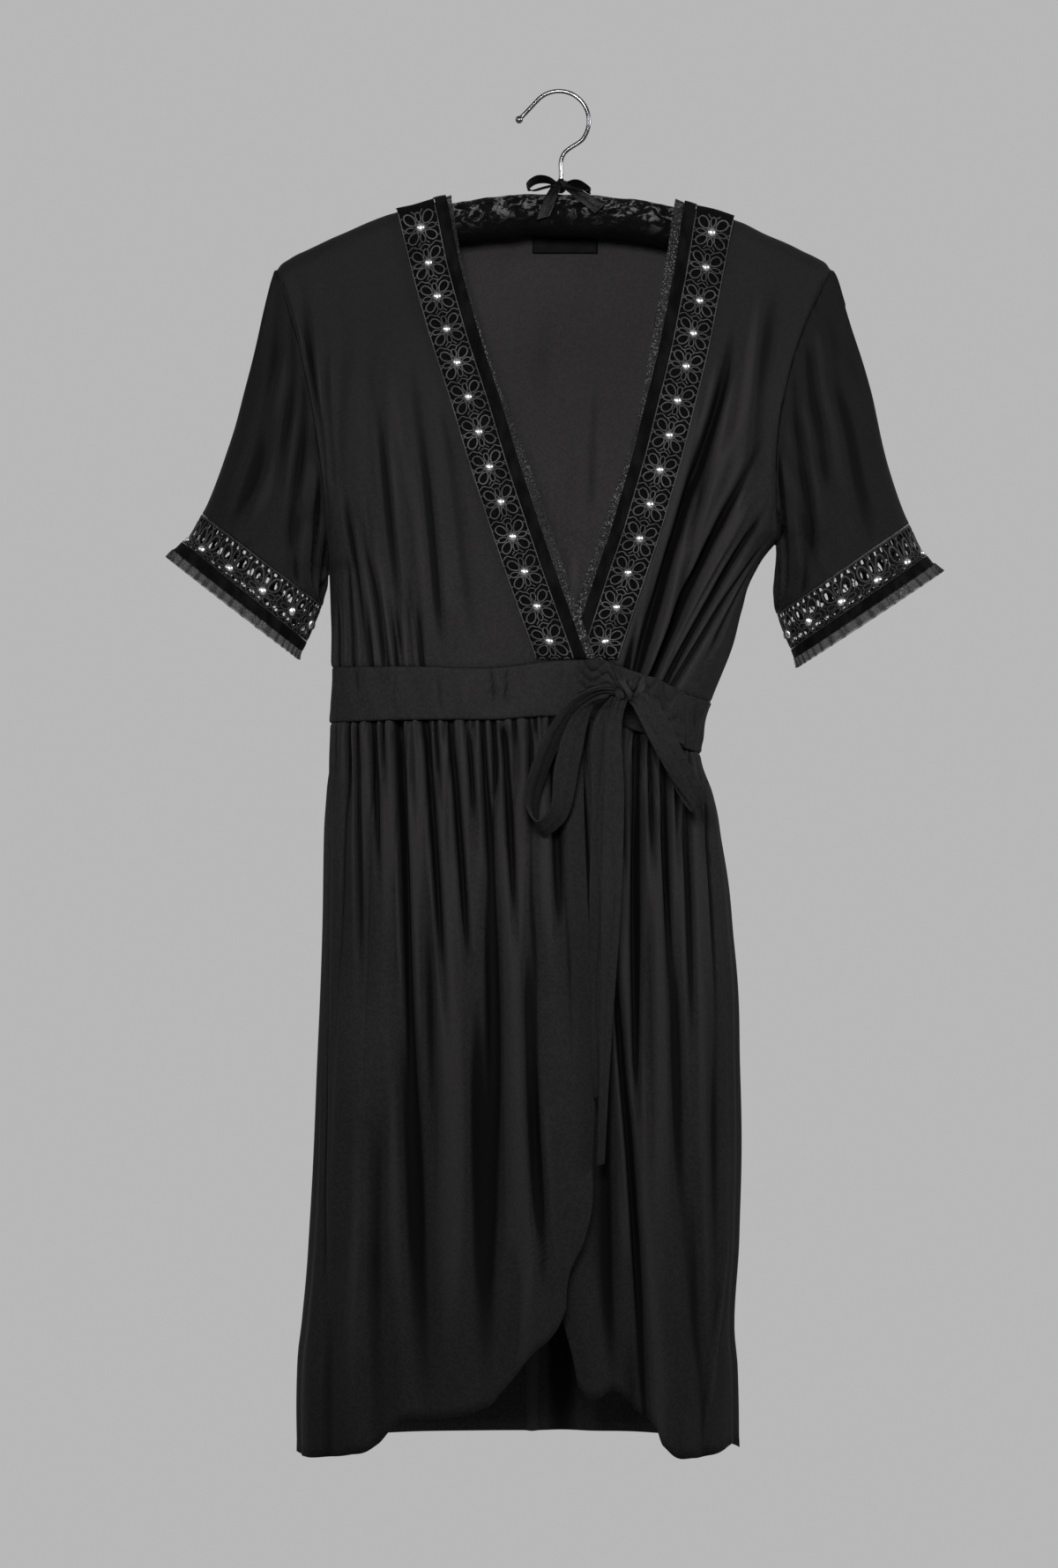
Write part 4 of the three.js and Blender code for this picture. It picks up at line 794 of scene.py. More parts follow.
def make_net(name, around, tall, flowers, cell):
    """The cuff's ground. x and y count millimetres of lace from the middle of the nearest flower."""
    finish = Finish(name, {"Specular IOR Level": 0.1})
    across, along, _ = finish.parts(finish.coordinate("UV"))
    x = ((across * (flowers / around)).part() - 0.5).size() * cell
    y = (along / tall - 0.5) * cell
    y_size = y.size()
    out = (x + y_size) * 0.7071 - 9.4
    beside = (x - y_size) * 0.7071
    wide_petal = (out * out / 11 + beside * beside / 3.6).under(1.0)
    narrow_petal = ((y_size - 8) * (y_size - 8) / 5 + x * x / 1.0).under(1.0)
    cell_hole = ((x - 12.8) * (x - 12.8) / 1.6 + (y_size - 6) * (y_size - 6) / 7).under(1.0)
    rung = (across * (flowers * 5 / around)).part().under(0.46) * (y + 12.3).size().under(0.85)
    opening = 1 - (wide_petal + narrow_petal + cell_hole).under(0.5)
    threads = finish.noise(finish.coordinate(), 170, 2, 0.5).between(0.40, 0.47)
    color = finish.mix(threads, shade((0.001, 0.001, 0.001)), shade((0.0026, 0.0025, 0.0026)))
    return finish.feed(Base_Color=color, Alpha=1 - opening * threads - rung, Roughness=threads * 0.1 + 0.75)


# The cuff cord is the neck's cord painted darker: painted shade of the cuffs
CORD = {"neck": make_cord("neck_cord", 0.058), "cuff": make_cord("cuff_cord_shaded", 0.026)}
GROUND = make_ground()
print("finishes:", [cord.name for cord in CORD.values()], GROUND.name)


# %% Tulle
def make_tulle(name, dense):
    """dense is how much of a single layer is seen. Hollows of pleats always look denser."""
    finish = Finish(name, {"Sheen Weight": 0.05, "Specular IOR Level": 0.25})
    _, along, _ = finish.parts(finish.coordinate("UV"))
    net = finish.net(finish.coordinate("UV"), 1500.0, 0.05, 0.16)
    hem = along.between(0.0004, 0.0012, 1, 0)
    glint = finish.noise(finish.coordinate(), 700, 2, 0.6).between(0.56, 0.64)
    lit = finish.noise(finish.coordinate(), 14, 1, 0.5).between(0.42, 0.6)
    color = finish.mix(net, shade((0.003, 0.003, 0.0032)), shade((0.012, 0.0117, 0.012)))
    color = finish.mix(glint * (lit * 0.8 + 0.2), color, shade((0.12, 0.118, 0.12)))
    fold = finish.attribute("relief").between(0.0, -0.5)
    alpha = (net * 0.35 + hem * 0.3 + glint * 0.3 + 0.45) * (fold * (1 - dense) + dense)
    return finish.feed(Base_Color=color, Alpha=alpha, Roughness=net * -0.2 + 0.85)


TULLE = make_tulle("tulle", 1.0)
SHEER = make_tulle("sheer_tulle", 0.68)
print("finishes:", TULLE.name, SHEER.name)

# %% [markdown]
# ## Satin and metal
# Satin's fine ribs run one way and spread its shine across them. The studs are bright domes with a haze
# of handling, and the hook is a darker plated wire with fine scratches along it.


# %% Satin, domes and wire
def make_satin(name, shine):
    finish = Finish(name, {"Specular IOR Level": shine})
    place = finish.coordinate()
    ribs = finish.noise(finish.scaled(place, (0.3, 1, 1)), 1700, 1, 0.5)
    patch = finish.noise(place, 45, 2, 0.5)
    color = finish.mix(patch, shade((0.0012, 0.0012, 0.0014)), shade((0.0035, 0.0035, 0.0038)))
    rough = ribs * 0.3 + 0.34
    return finish.feed(Base_Color=color, Roughness=rough, Normal=finish.bump(ribs, 0.5, 0.0002))


def make_metal(name, pale, dull, rough):
    finish = Finish(name, {"Metallic": 1.0})
    place = finish.coordinate()
    haze = finish.noise(place, 160, 3, 0.6)
    scratch = finish.noise(finish.scaled(place, (1, 1, 0.15)), 2100, 1, 0.5)
    color = finish.mix(haze.between(0.4, 0.75), shade(pale), shade(dull))
    rough = haze * 0.1 + scratch * 0.05 + rough
    return finish.feed(Base_Color=color, Roughness=rough, Normal=finish.bump(scratch, 0.08, 0.0001))


SATIN = make_satin("satin", 0.12)
LABEL = make_satin("label_weave", 0.02)
DOME = make_metal("silver_dome", (0.86, 0.86, 0.87), (0.55, 0.55, 0.56), 0.24)
WIRE_STEEL = make_metal("hook_wire", (0.22, 0.22, 0.23), (0.10, 0.10, 0.105), 0.1)
print("finishes:", SATIN.name, LABEL.name, DOME.name, WIRE_STEEL.name)

# %% [markdown]
# ## Where the pieces meet
# The neck bands, the waist seams and the laps are shared by many pieces, so they are worked out once.
# The neck band's middle line is a table, and everything on it is measured from that line.

# %% Neck bands
LACE_WIDTH = 28
SLANT = 1.045                   # the bands lean, so they are this much wider along X
RIBBON_WIDTH = 9
FRILL_WIDTH = 6.5
HALF_LACE = LACE_WIDTH / 2 * SLANT
RIBBON_FROM = HALF_LACE + SEAM
RIBBON_TO = RIBBON_FROM + RIBBON_WIDTH * SLANT
CLOTH_EDGE = RIBBON_TO - 0.7
FRILL_FROM = RIBBON_TO + 0.2
FRILL_TO = FRILL_FROM + FRILL_WIDTH * SLANT
NECK_SEAM_Z = -90
NECK_FOOT_Z = -455

NECK = {
    "right": (1, table("z x", (-90, -114), (-169, -95), (-251, -70), (-331, -45.2), (-450, -4))),
    "left": (-1, table("z x", (-90, 124), (-171, 109.5), (-253, 91), (-331, 70), (-383, 53.5), (-470, 25))),
}
inward = {side: way for side, (way, _) in NECK.items()}
band_x = {side: track(line, "z", "x") for side, (_, line) in NECK.items()}


def band_place(side, out, drop, lean=0.0):
    seam = shoulder_z(band_x[side](NECK_SEAM_Z))
    z = seam - drop + lean
    x = band_x[side](z) + inward[side] * out
    follow = (shoulder_z(x) - seam) * (1 - smooth(drop / 60))
    return x, z + follow


print("the trims reach", round(FRILL_TO, 1), "mm from the band's middle")

# %% Waist seams and laps
WAIST_Z = -480
WAIST = table(
    "x top low",
    (-184, -456, -500), (-107, -457, -498.5), (-49, -458, -498.5), (16, -452, -497), (60, -461, -507),
    (100, -478, -521), (122, -484, -525),
)
waist_front = {edge: track(WAIST, "x", edge) for edge in ("top", "low")}


def waist_seam(face, edge, x):
    if face == "front":
        return waist_front[edge](x)
    share = np.clip((x - WAIST["x"][0]) / (WAIST["x"][-1] - WAIST["x"][0]), 0, 1)
    return lerp(WAIST[edge][0], WAIST[edge][-1], share)


def no_lap(x, z):
    return 0 * x


def lap_over(x, z):
    """How far the over front stands off, for the under front beneath it."""
    return 2 * smooth((x + 60) / 60)


def lap_under(x, z):
    return -lerp(7, 11, smooth((-480 - z) / 60)) * (1 - smooth((x - 34) / 45))


LAPS = {
    "right": lambda x, z: lap_over(x, z) * smooth((-370 - z) / 40),
    "left": lambda x, z: lap_under(x, z) * smooth((-340 - z) / 60),
}
TURN_PART = 0.14                # share of a panel's rows that lies in the turn over the shoulder
INSIDE_BODICE = (0, 0, -300)


def turn_down(v, length):
    turn = SHOULDER_TURN * (1 - np.cos(np.minimum(v / TURN_PART, 1) * math.pi / 2))
    return turn + (length - SHOULDER_TURN) * np.maximum((v - TURN_PART) / (1 - TURN_PART), 0)


print("waist seam at the middle", waist_front["top"](np.array([0.0])))

# %% [markdown]
# ## Bodice fronts
# The right front laps over the left. It is gathered where it meets the waistband, and the left front is
# dragged towards the tie, which pulls slanting folds out of the side seam. A fold's row says where it
# starts and ends, how deep it is and how wide. Negative depths are swells.

# %% Folds of the fronts
BODICE_FOLDS = {
    "right": table(
        FOLD_COLUMNS,
        (-215, -475, -146, -121, 2.6, 5), (-180, -470, -120, -90, 1.6, 6),
        (-300, -490, -172, -146, 3.0, 3.4), (-240, -480, -134, -106, 1.5, 5),
        (-330, -490, -158, -132, 3, 3.0), (-180, -340, -168, -176, 1.8, 6), (-200, -470, -96, -66, 1.6, 7),
        (-150, -440, -204, -176, 9, 5), (-240, -470, -190, -178, 7, 4.4), (-350, -500, -168, -160, 3, 2.6),
        (-370, -500, -146, -128, 3.4, 2.6), (-380, -500, -122, -113, 3, 2.6),
        (-180, -400, -134, -122, -1.4, 8), (-170, -360, -150, -148, 1.2, 6),
        (-260, -460, -108, -92, 1.4, 5), (-390, -500, -176, -173, 3.4, 2.4),
        (-386, -500, -138, -122, 3, 2.4), (-394, -500, -112, -104, 2.6, 2.4),
        (-398, -500, -153, -143, 3, 2.2), (-400, -500, -130, -118, 2.6, 2.2),
        (-190, -330, -186, -178, 2.6, 4),
    ),
    "left": table(
        FOLD_COLUMNS,
        (-200, -520, 140, 49, 11, 5.6), (-275, -520, 160, 53, 11, 5), (-320, -520, 170, 60, 9, 4.4),
        (-245, -520, 148, 52, -3.6, 5), (-345, -515, 172, 66, 6, 3.8), (-170, -470, 140, 84, 7, 6),
        (-130, -360, 170, 150, 3.4, 8), (-250, -500, 122, 52, 8, 5), (-150, -370, 200, 166, 6, 5),
        (-380, -500, 66, 48, 12, 4.6), (-300, -510, 164, 60, -3.4, 4), (-355, -460, 168, 112, 3.4, 3.6),
        (-150, -380, 158, 130, -2.2, 7), (-230, -490, 108, 54, 4.4, 3.6), (-190, -400, 120, 90, 3, 3.6),
        (-300, -520, 150, 50, 5, 2.8), (-350, -490, 140, 70, 4, 2.8),
    ),
}
print("folds of the fronts:", {side: len(rows["top"]) for side, rows in BODICE_FOLDS.items()})


# %% Bodice fronts
ARMHOLE_GROOVE = (0.9, 2.2)     # depth and width of the seam round an armhole


def bodice_front(side, sleeve_side, gathered):
    hole = ARMHOLES[sleeve_side]
    seam = shoulder_z(band_x[side](NECK_SEAM_Z))
    foot = band_x[side](NECK_FOOT_Z) + inward[side] * CLOTH_EDGE
    low_z = waist_front["top"](foot) - TUCK
    side_low = waist_front["top"](trunk_x[sleeve_side](WAIST_Z)) - TUCK

    def flat(u, v):
        share = np.sin(u * math.pi / 2) ** (2 / BODY_ROUND)
        neck_x, neck_z = band_place(side, CLOTH_EDGE, turn_down(v, seam - low_z))
        side_z = hole["topZ"] - turn_down(v, hole["topZ"] - side_low)
        return lerp(neck_x, edge_x(sleeve_side, side_z), share), lerp(neck_z, side_z, share)

    def place(u, v):
        x, z = flat(u, v)
        top_x, top_z = flat(u, np.zeros_like(v))
        low_x, low = flat(u, np.ones_like(v))
        top_fill = (shoulder_z(top_x) - top_z) * (1 - v) ** 2
        low_fill = (waist_front["top"](low_x) - TUCK - low) * v * v
        return skin("front", x, z + top_fill + low_fill)

    rough = ripples(11 if side == "right" else 12, (1, 5), (0.5, 2.5))

    def lift(u, v, spot):
        x, _, z = spot.T
        beside = -inward[side] * (x - band_x[side](z)) - HALF_LACE
        free = smooth((beside - 2) / 10)
        low_x, low = flat(u, np.ones_like(v))
        up = z - (waist_front["top"](low_x) - TUCK)
        out = LAPS[side](x, z)
        hole_near = np.abs(x - edge_x(sleeve_side, z))
        folds = fold_lift("front", BODICE_FOLDS[side], spot) * smooth(hole_near / 7)
        out = out + free * (folds + 0.5 * rough(u, v))
        if gathered:
            zone = smooth((-100 - low_x) / 8)
            out = out + zone * (gathers(low_x, up, 5.6, 90, 1.7, 21) + gathers(low_x, up, 13, 200, 2.0, 22))
        out = out + groove(hole_near, *ARMHOLE_GROOVE) * smooth((z - hole["lowZ"]) / 6)
        return out + tucked(up)

    panel(f"front_bodice_{side}", (150, 104), place, INSIDE_BODICE, (CREPE, "crepe"),
          [f"bodice_front_{side}"], "hung", ["hanger_body"], lift,
          spread=lambda u, v: (u, v ** 0.9), half="front")


bodice_front("right", "left", gathered=True)
bodice_front("left", "right", gathered=False)

# %% [markdown]
# ## Bodice back
# The back hangs from the shoulders and dips behind the hanger at the neck. Through the V of the neck
# its inside shows, so its folds are as careful as those of the fronts.

# %% Bodice back
NECK_HALF = {
    "left": float(band_place("right", CLOTH_EDGE, np.array(0.0))[0]),
    "right": float(band_place("left", CLOTH_EDGE, np.array(0.0))[0]),
}
BACK_NECK_DIP = 19
BACK_FOLDS = table(
    FOLD_COLUMNS,
    (-200, -500, -134, -112, 3, 11), (-250, -460, -40, -45, 1.2, 8), (-250, -470, 60, 40, 1.2, 8),
    (-200, -500, 134, 92, 3, 11), (-150, -420, 4, -8, 0.8, 7), (-180, -400, -78, -64, 1.2, 6),
    (-170, -380, 88, 74, 1.2, 7), (-300, -462, -86, -80, 2, 5), (-340, -470, 14, 10, 1.2, 5),
    (-200, -350, 30, 26, -0.8, 5),
)


def back_top(x):
    half = (NECK_HALF["right"] - NECK_HALF["left"]) / 2
    out = np.abs(x - (NECK_HALF["left"] + NECK_HALF["right"]) / 2) / half
    corner = lerp(shoulder_z(NECK_HALF["left"]), shoulder_z(NECK_HALF["right"]), 0.5)
    return np.where(out >= 1, shoulder_z(x), corner - BACK_NECK_DIP * (1 - np.minimum(out, 1) ** 3))


def back_flat(u, v):
    left_low = waist_seam("back", "top", trunk_x["left"](WAIST_Z)) - TUCK
    right_low = waist_seam("back", "top", trunk_x["right"](WAIST_Z)) - TUCK
    left_hole, right_hole = ARMHOLES["left"], ARMHOLES["right"]
    left_z = left_hole["topZ"] - turn_down(v, left_hole["topZ"] - left_low)
    right_z = right_hole["topZ"] - turn_down(v, right_hole["topZ"] - right_low)
    return lerp(edge_x("left", left_z), edge_x("right", right_z), u), lerp(left_z, right_z, u)


def back_place(u, v):
    x, z = back_flat(u, v)
    top_x, top_z = back_flat(u, np.zeros_like(v))
    low_x, low_z = back_flat(u, np.ones_like(v))
    top_fill = (back_top(top_x) - top_z) * (1 - v) ** 2
    low_fill = (waist_seam("back", "top", low_x) - TUCK - low_z) * v * v
    return skin("back", x, z + top_fill + low_fill)


back_rough = ripples(13, (1, 6), (0.5, 2.5))
print("the back's neck lies at", round(float(back_top(np.array(0.0)))), "mm")


# %% Back panel
def back_lift(u, v, spot):
    x, _, z = spot.T
    low_x, _ = back_flat(u, np.ones_like(v))
    up = z - waist_seam("back", "top", low_x) + TUCK
    out = fold_lift("back", BACK_FOLDS, spot) + 0.45 * back_rough(u, v)
    out = out + gathers(low_x + 200, up, 7.5, 70, 1.0, 31) * smooth((90 - np.abs(low_x + 30)) / 20)
    for side in ARMHOLES:
        near = np.abs(x - edge_x(side, z))
        out = out + groove(near, *ARMHOLE_GROOVE) * smooth((z - ARMHOLES[side]["lowZ"]) / 6)
    return out + tucked(up)


def turned(u):
    """Columns across a row from side to side, closer together where the cloth turns to the back."""
    c = np.cos(u * math.pi)
    return 0.5 - 0.5 * np.sign(c) * np.abs(c) ** (2 / BODY_ROUND)


back_bodice = panel("back_bodice", (130, 90), back_place, INSIDE_BODICE, (CREPE, "crepe"),
                    ["bodice_back"], "hung", ["hanger_body"], back_lift,
                    spread=lambda u, v: (lerp(u, turned(u), 0.6), v ** 0.9), half="back")
show_wrong_side(back_bodice, CREPE_INSIDE_LIT)

# %% [markdown]
# ## Waistband
# A straight band in three lengths lies smooth between gathered cloth above and below. Rows of stitching
# hold its edges down, and the gathers print through as a faint ripple beside them.


# %% Places round the body
SETTLE_ROUNDS = 6


def round_x(turn, z):
    return lerp(trunk_x["left"](z), trunk_x["right"](z), turned(turn))


def turn_of(x, z):
    left, right = trunk_x["left"](z), trunk_x["right"](z)
    c = 1 - 2 * (x - left) / (right - left)
    return np.arccos(np.clip(np.sign(c) * np.abs(c) ** (BODY_ROUND / 2), -1, 1)) / math.pi


def settle(turn, seam_z):
    """The height of a slanting seam at each turn, closed in on in a few rounds."""
    z = np.full_like(turn, WAIST_Z, dtype=float)
    for _ in range(SETTLE_ROUNDS):
        z = seam_z(round_x(turn, z))
    return z


print("the waist's middle is at turn", np.round(turn_of(np.array(0.0), WAIST_Z), 3))

# %% Creases of the waistband
WAIST_CREASES = table(
    FOLD_COLUMNS,
    (-450, -486, -54, -51, 1.0, 1.8), (-452, -492, -41, -42, 1.3, 1.8), (-450, -480, -29, -30, 0.9, 1.6),
    (-455, -500, -96, -92, 0.8, 2.2), (-455, -495, -128, -131, 0.8, 2), (-452, -478, 2, 0, 1.1, 1.6),
    (-470, -505, -12, -14, 0.8, 1.8), (-455, -480, -160, -158, 0.7, 2), (-455, -500, -72, -75, -0.7, 5),
    (-470, -515, 70, 78, 1.2, 2), (-475, -520, 92, 98, 0.9, 2), (-476, -520, 106, 108, 0.7, 2),
)
print("creases of the waistband:", len(WAIST_CREASES["top"]))


# %% Waistband
OVER_EDGE_WAIST = 16.4
LAP = 52                        # how far the under front runs beneath the over front
WAIST_TALL = 43.0


def waistband(name, node, face, from_x, to_x, lap, columns):
    start = 0.0 if from_x is None else float(turn_of(np.array(float(from_x)), WAIST_Z))
    stop = 1.0 if to_x is None else float(turn_of(np.array(float(to_x)), WAIST_Z))

    def place(u, v):
        turn = lerp(start, stop, u)
        z = settle(turn, lambda x: lerp(waist_seam(face, "top", x), waist_seam(face, "low", x), v))
        return skin(face, round_x(turn, z), z)

    soft = ripples(len(name), (2, 9), (0.2, 0.8))

    def lift(u, v, spot):
        x, _, z = spot.T
        edge = np.minimum(v, 1 - v) * WAIST_TALL
        puckers = gathers(x + 300, edge, 5.4, 11, 0.6, 41)
        ridge = 0.25 * smooth(edge / 0.8) + groove(edge - 2.2, 0.28, 0.5)
        creases = fold_lift(face, WAIST_CREASES, spot)
        return lap(x, z) + 0.45 * soft(u, v) + puckers + creases + ridge + groove(edge, 0.6, 0.8)

    panel(name, (columns, 30), place, (0, 0, WAIST_Z), (CREPE, "crepe"), [node], "stretched",
          ["hanger_body"], lift, wall=1.0, half=face)


waistband("waist_over", "waistband_front_right", "front", None, OVER_EDGE_WAIST, lap_over, 150)
waistband("waist_under", "waistband_front_left", "front", OVER_EDGE_WAIST - LAP, None, lap_under, 110)
waistband("waist_back", "waistband_back", "back", None, None, no_lap, 150)

# %% [markdown]
# ## Skirt
# The skirt is cut wider than the waist and gathered into the band. Close to the seam it is full of small
# gathers. They come in four sizes, and the smaller ones run out first, so that by the knee only a handful
# of long soft folds is left. The free edge curves away to a tulip hem.

# %% Edges of the skirt
HEM_Z = -1075
OVER_EDGE = table("z x", (-492, 16.4), (-631, 21.2), (-710, 25.9), (-850, 25.5), (-899, 19.8), (-925, 8),
                  (-960, 5))
OVER_HEM = table("x z", (6, -950), (-3.4, -971), (-19.7, -986), (-31.3, -1000), (-45.6, -1018), (-60, -1031),
                 (-104, -1040), (-125, -1043), (-142, -1061), (-161, -1069), (-206, -1078))
UNDER_EDGE = table("z x", (-492, -36), (-800, -30), (-900, -14), (-990, 10), (-1020, 16))
UNDER_HEM = table("x z", (10, -1003), (25, -1026), (44, -1020), (60, -1034), (74, -1047), (80, -1062),
                  (103, -1073), (141, -1066))
over_edge = track(OVER_EDGE, "z", "x")
under_edge = track(UNDER_EDGE, "z", "x")
over_hem = track(OVER_HEM, "x", "z")
under_hem = track(UNDER_HEM, "x", "z")
SKIRT_TOP_Z = -500
SKIRT_LOW_Z = -1020
HEM_TURN = 7                    # depth of the sewn hem
# Gathers by size: distance between them, longest reach, depth and seed
SKIRT_GATHERS = ((5.4, 56, 3.0, 2), (11, 130, 2.2, 5), (19, 260, 2.4, 3), (33, 600, 3.2, 4))
print("the over front's edge at the knee:", over_edge(np.array([-800.0])))

# %% Folds of the skirt
SKIRT_FOLDS = {
    "over": table(
        FOLD_COLUMNS,
        (-485, -650, -147, -140, 7, 3.6), (-485, -820, -127, -114, 16, 4.6), (-640, -1120, -124, -104, 9, 12),
        (-485, -790, -106, -84, 9, 4), (-485, -740, -86, -68, 8, 3.8), (-485, -660, -61, -52, 6.5, 3.6),
        (-500, -720, -43, -32, 6.5, 3.8), (-490, -700, -6, 0, 9, 5), (-485, -740, -160, -154, 6, 3.6),
        (-485, -1000, -181, -187, 10, 5), (-560, -940, -58, -44, 5, 7), (-640, -900, -30, -18, 3.6, 6),
        (-740, -1000, -26, -8, 4.5, 7), (-485, -600, -118, -113, 5, 3.2), (-485, -620, -74, -62, 5, 3.2),
        (-485, -610, -26, -18, 4.4, 3.2), (-485, -580, -53, -47, 5, 3), (-485, -590, -98, -92, 5, 3),
        (-485, -580, -36, -33, 4.6, 3), (-485, -570, -139, -136, 4.6, 3), (-485, -590, -167, -164, 4, 3),
        (-485, -580, -14, -9, 4, 3), (-600, -900, -104, -96, 4, 8), (-560, -1085, -90, -82, -9, 13),
        (-620, -1085, -162, -168, -7, 17), (-560, -1060, -38, -30, -6, 11), (-600, -900, -70, -76, -3, 8),
        (-700, -1085, -62, -54, 7, 12), (-740, -1085, -142, -150, 6, 12), (-850, -1085, -184, -190, 4, 11),
        (-860, -1060, -30, -44, 3, 9), (-480, -530, -150, -149, 4, 2.6), (-480, -535, -130, -129, 4, 2.6),
        (-480, -530, -110, -108, 4, 2.6), (-480, -536, -91, -89, 4, 2.6), (-480, -530, -68, -66, 4, 2.6),
        (-480, -535, -45, -44, 4, 2.6), (-480, -530, -20, -19, 4, 2.6), (-480, -530, 0, 1, 4, 2.6),
    ),
    "under": table(
        FOLD_COLUMNS,
        (-490, -900, 62, 60, 11, 5), (-495, -740, 82, 86, 10, 4), (-640, -1120, 40, 75, 12, 4.4),
        (-495, -670, 72, 74, 7, 3.4), (-500, -860, 98, 106, 6, 4.4), (-560, -900, 66, 72, 5, 5),
        (-505, -780, 116, 124, 4.4, 4.4), (-505, -640, 92, 94, 6, 3.4), (-540, -760, 62, 60, 6, 4),
        (-620, -980, 86, 96, 4, 7), (-700, -1060, 118, 124, 3.6, 9), (-600, -1040, 108, 112, -4.4, 14),
        (-900, -1085, 134, 112, -4, 2.4), (-500, -570, 78, 79, 4.4, 2.8), (-505, -575, 104, 106, 4.4, 2.8),
        (-800, -1120, 102, 108, 6, 12), (-760, -1085, 46, 52, -4, 8),
    ),
    "back": table(
        FOLD_COLUMNS,
        (-485, -1000, -130, -124, 6, 8), (-485, -1085, -76, -72, 6, 8), (-485, -1300, -22, -21, 7, 4),
        (-485, -1060, 34, 42, 6, 8), (-485, -1085, 84, 98, 6, 8.5), (-485, -760, -150, -150, 4, 4),
        (-485, -800, -102, -98, 4, 4), (-485, -780, -50, -48, 4, 4), (-485, -760, 8, 12, 4, 4),
        (-490, -800, 62, 68, 4, 4), (-640, -1060, -104, -100, 3.6, 9), (-700, -1100, 10, 12, 3.6, 9),
        (-620, -1080, -170, -174, 4, 9), (-760, -1100, 66, 72, 3.4, 9), (-700, -1200, 4, 6, -10, 18),
    ),
}
SKIRT_ENDING = 0.65             # long folds die away slowly
SEAM_FOLDS_FROM = -505          # folds from above this height start at full depth in the seam
print("folds of the skirt:", {part: len(rows["top"]) for part, rows in SKIRT_FOLDS.items()})


# %% Skirt panels
def skirt_panel(name, node, face, folds, turns, hem, lap, grid, seeds):
    def ends(u):
        top = settle(turns(u, SKIRT_TOP_Z), lambda x: waist_seam(face, "low", x)) + TUCK
        bottom = hem(round_x(turns(u, SKIRT_LOW_Z), SKIRT_LOW_Z))
        return top, bottom

    def place(u, v):
        top, bottom = ends(u)
        z = lerp(top, bottom, v)
        return skin(face, round_x(turns(u, z), z), z)

    soft = ripples(seeds, (2, 9), (0.2, 1.2))
    sway = ripples(seeds + 1, (2.5, 6), (0.0, 0.25))

    def lift(u, v, spot):
        x, _, z = spot.T
        top, bottom = ends(u)
        down, up = top - z, z - bottom
        across = round_x(turns(u, SKIRT_TOP_Z), SKIRT_TOP_Z) + 400
        out = lap(x, z) + fold_lift(face, folds, spot, SKIRT_ENDING, SEAM_FOLDS_FROM)
        beside = np.minimum(x - trunk_x["left"](z), trunk_x["right"](z) - x)
        free = smooth((down - TUCK) / 3 + 0.3) * smooth(beside / 7 + down / 90)
        for pitch, reach, depth, seed in SKIRT_GATHERS:
            out = out + free * gathers(across, down, pitch, reach, depth, seeds + seed)
        out = out + (0.45 * soft(u, v) + 1.6 * sway(u, v) * smooth(v * 1.3)) * smooth(down / 30)
        ridge = 0.35 * smooth((HEM_TURN - up) / 0.8) + groove(up - HEM_TURN + 0.6, 0.3, 0.6)
        return out + ridge + tucked(down)

    return panel(name, grid, place, (0, 0, -700), (CREPE, "crepe"), [node], "gathered", [], lift,
                 spread=lambda u, v: (u, v ** 1.4), half=face)


RECESS = 5                      # the strip beside the deep fold lies further in


def under_lap(x, z):
    fold_x = lerp(43, 75, np.clip((-747 - z) / 320, 0, 1))
    return lap_under(x, z) - RECESS * (1 - smooth((x - fold_x + 6) / 8)) * smooth((-640 - z) / 120)


skirt_panel("skirt_over", "skirt_front_right", "front", SKIRT_FOLDS["over"],
            lambda u, z: u * turn_of(over_edge(z), z), over_hem, lap_over, (320, 86), 51)
skirt_panel("skirt_under", "skirt_front_left", "front", SKIRT_FOLDS["under"],
            lambda u, z: lerp(turn_of(under_edge(z), z), 1, u), under_hem, under_lap, (220, 86), 61)
skirt_back = skirt_panel("skirt_behind", "skirt_back", "back", SKIRT_FOLDS["back"],
                         lambda u, z: u, lambda x: np.full_like(x, HEM_Z), no_lap, (270, 80), 71)
show_wrong_side(skirt_back, CREPE_INSIDE_LIT)

# %% [markdown]
# ## Sleeves
# A sleeve is a tube from the armhole to the cuff. Its corners at the top and under the arm come from a
# table, and at the armhole its depth follows the body, so the seam closes all the way round.

# %% Sleeve tubes
SLEEVE_COLUMNS = "along outX outZ inX inZ half"
SLEEVES = {
    "right": ("left", table(
        SLEEVE_COLUMNS,
        (0, -224, -140, -182, -378, 34), (0.25, -233.5, -178, -183.5, -388, 35),
        (0.5, -248, -235, -185, -396, 37), (0.75, -264.5, -290, -186.5, -402, 39),
        (1, -283.5, -334, -188, -407, 41), (2, -299, -356, -200, -435.5, 43),
        (3, -306.5, -363, -204.5, -443, 44), (4, -311, -369, -207, -449.5, 45))),
    "left": ("right", table(
        SLEEVE_COLUMNS,
        (0, 216, -140, 175, -354, 34), (0.25, 230, -186, 172.5, -369, 35),
        (0.5, 246, -238, 171, -386, 37), (0.75, 260, -294, 171, -401, 39),
        (1, 278, -342, 173, -413.5, 41), (2, 292, -367, 184, -441.5, 43),
        (3, 298.5, -374, 187, -449, 44), (4, 304.5, -380, 189.5, -456, 45))),
}
sleeve_line = {
    side: {name: track(rows, "along", name) for name in SLEEVE_COLUMNS.split()[1:]}
    for side, (_, rows) in SLEEVES.items()
}


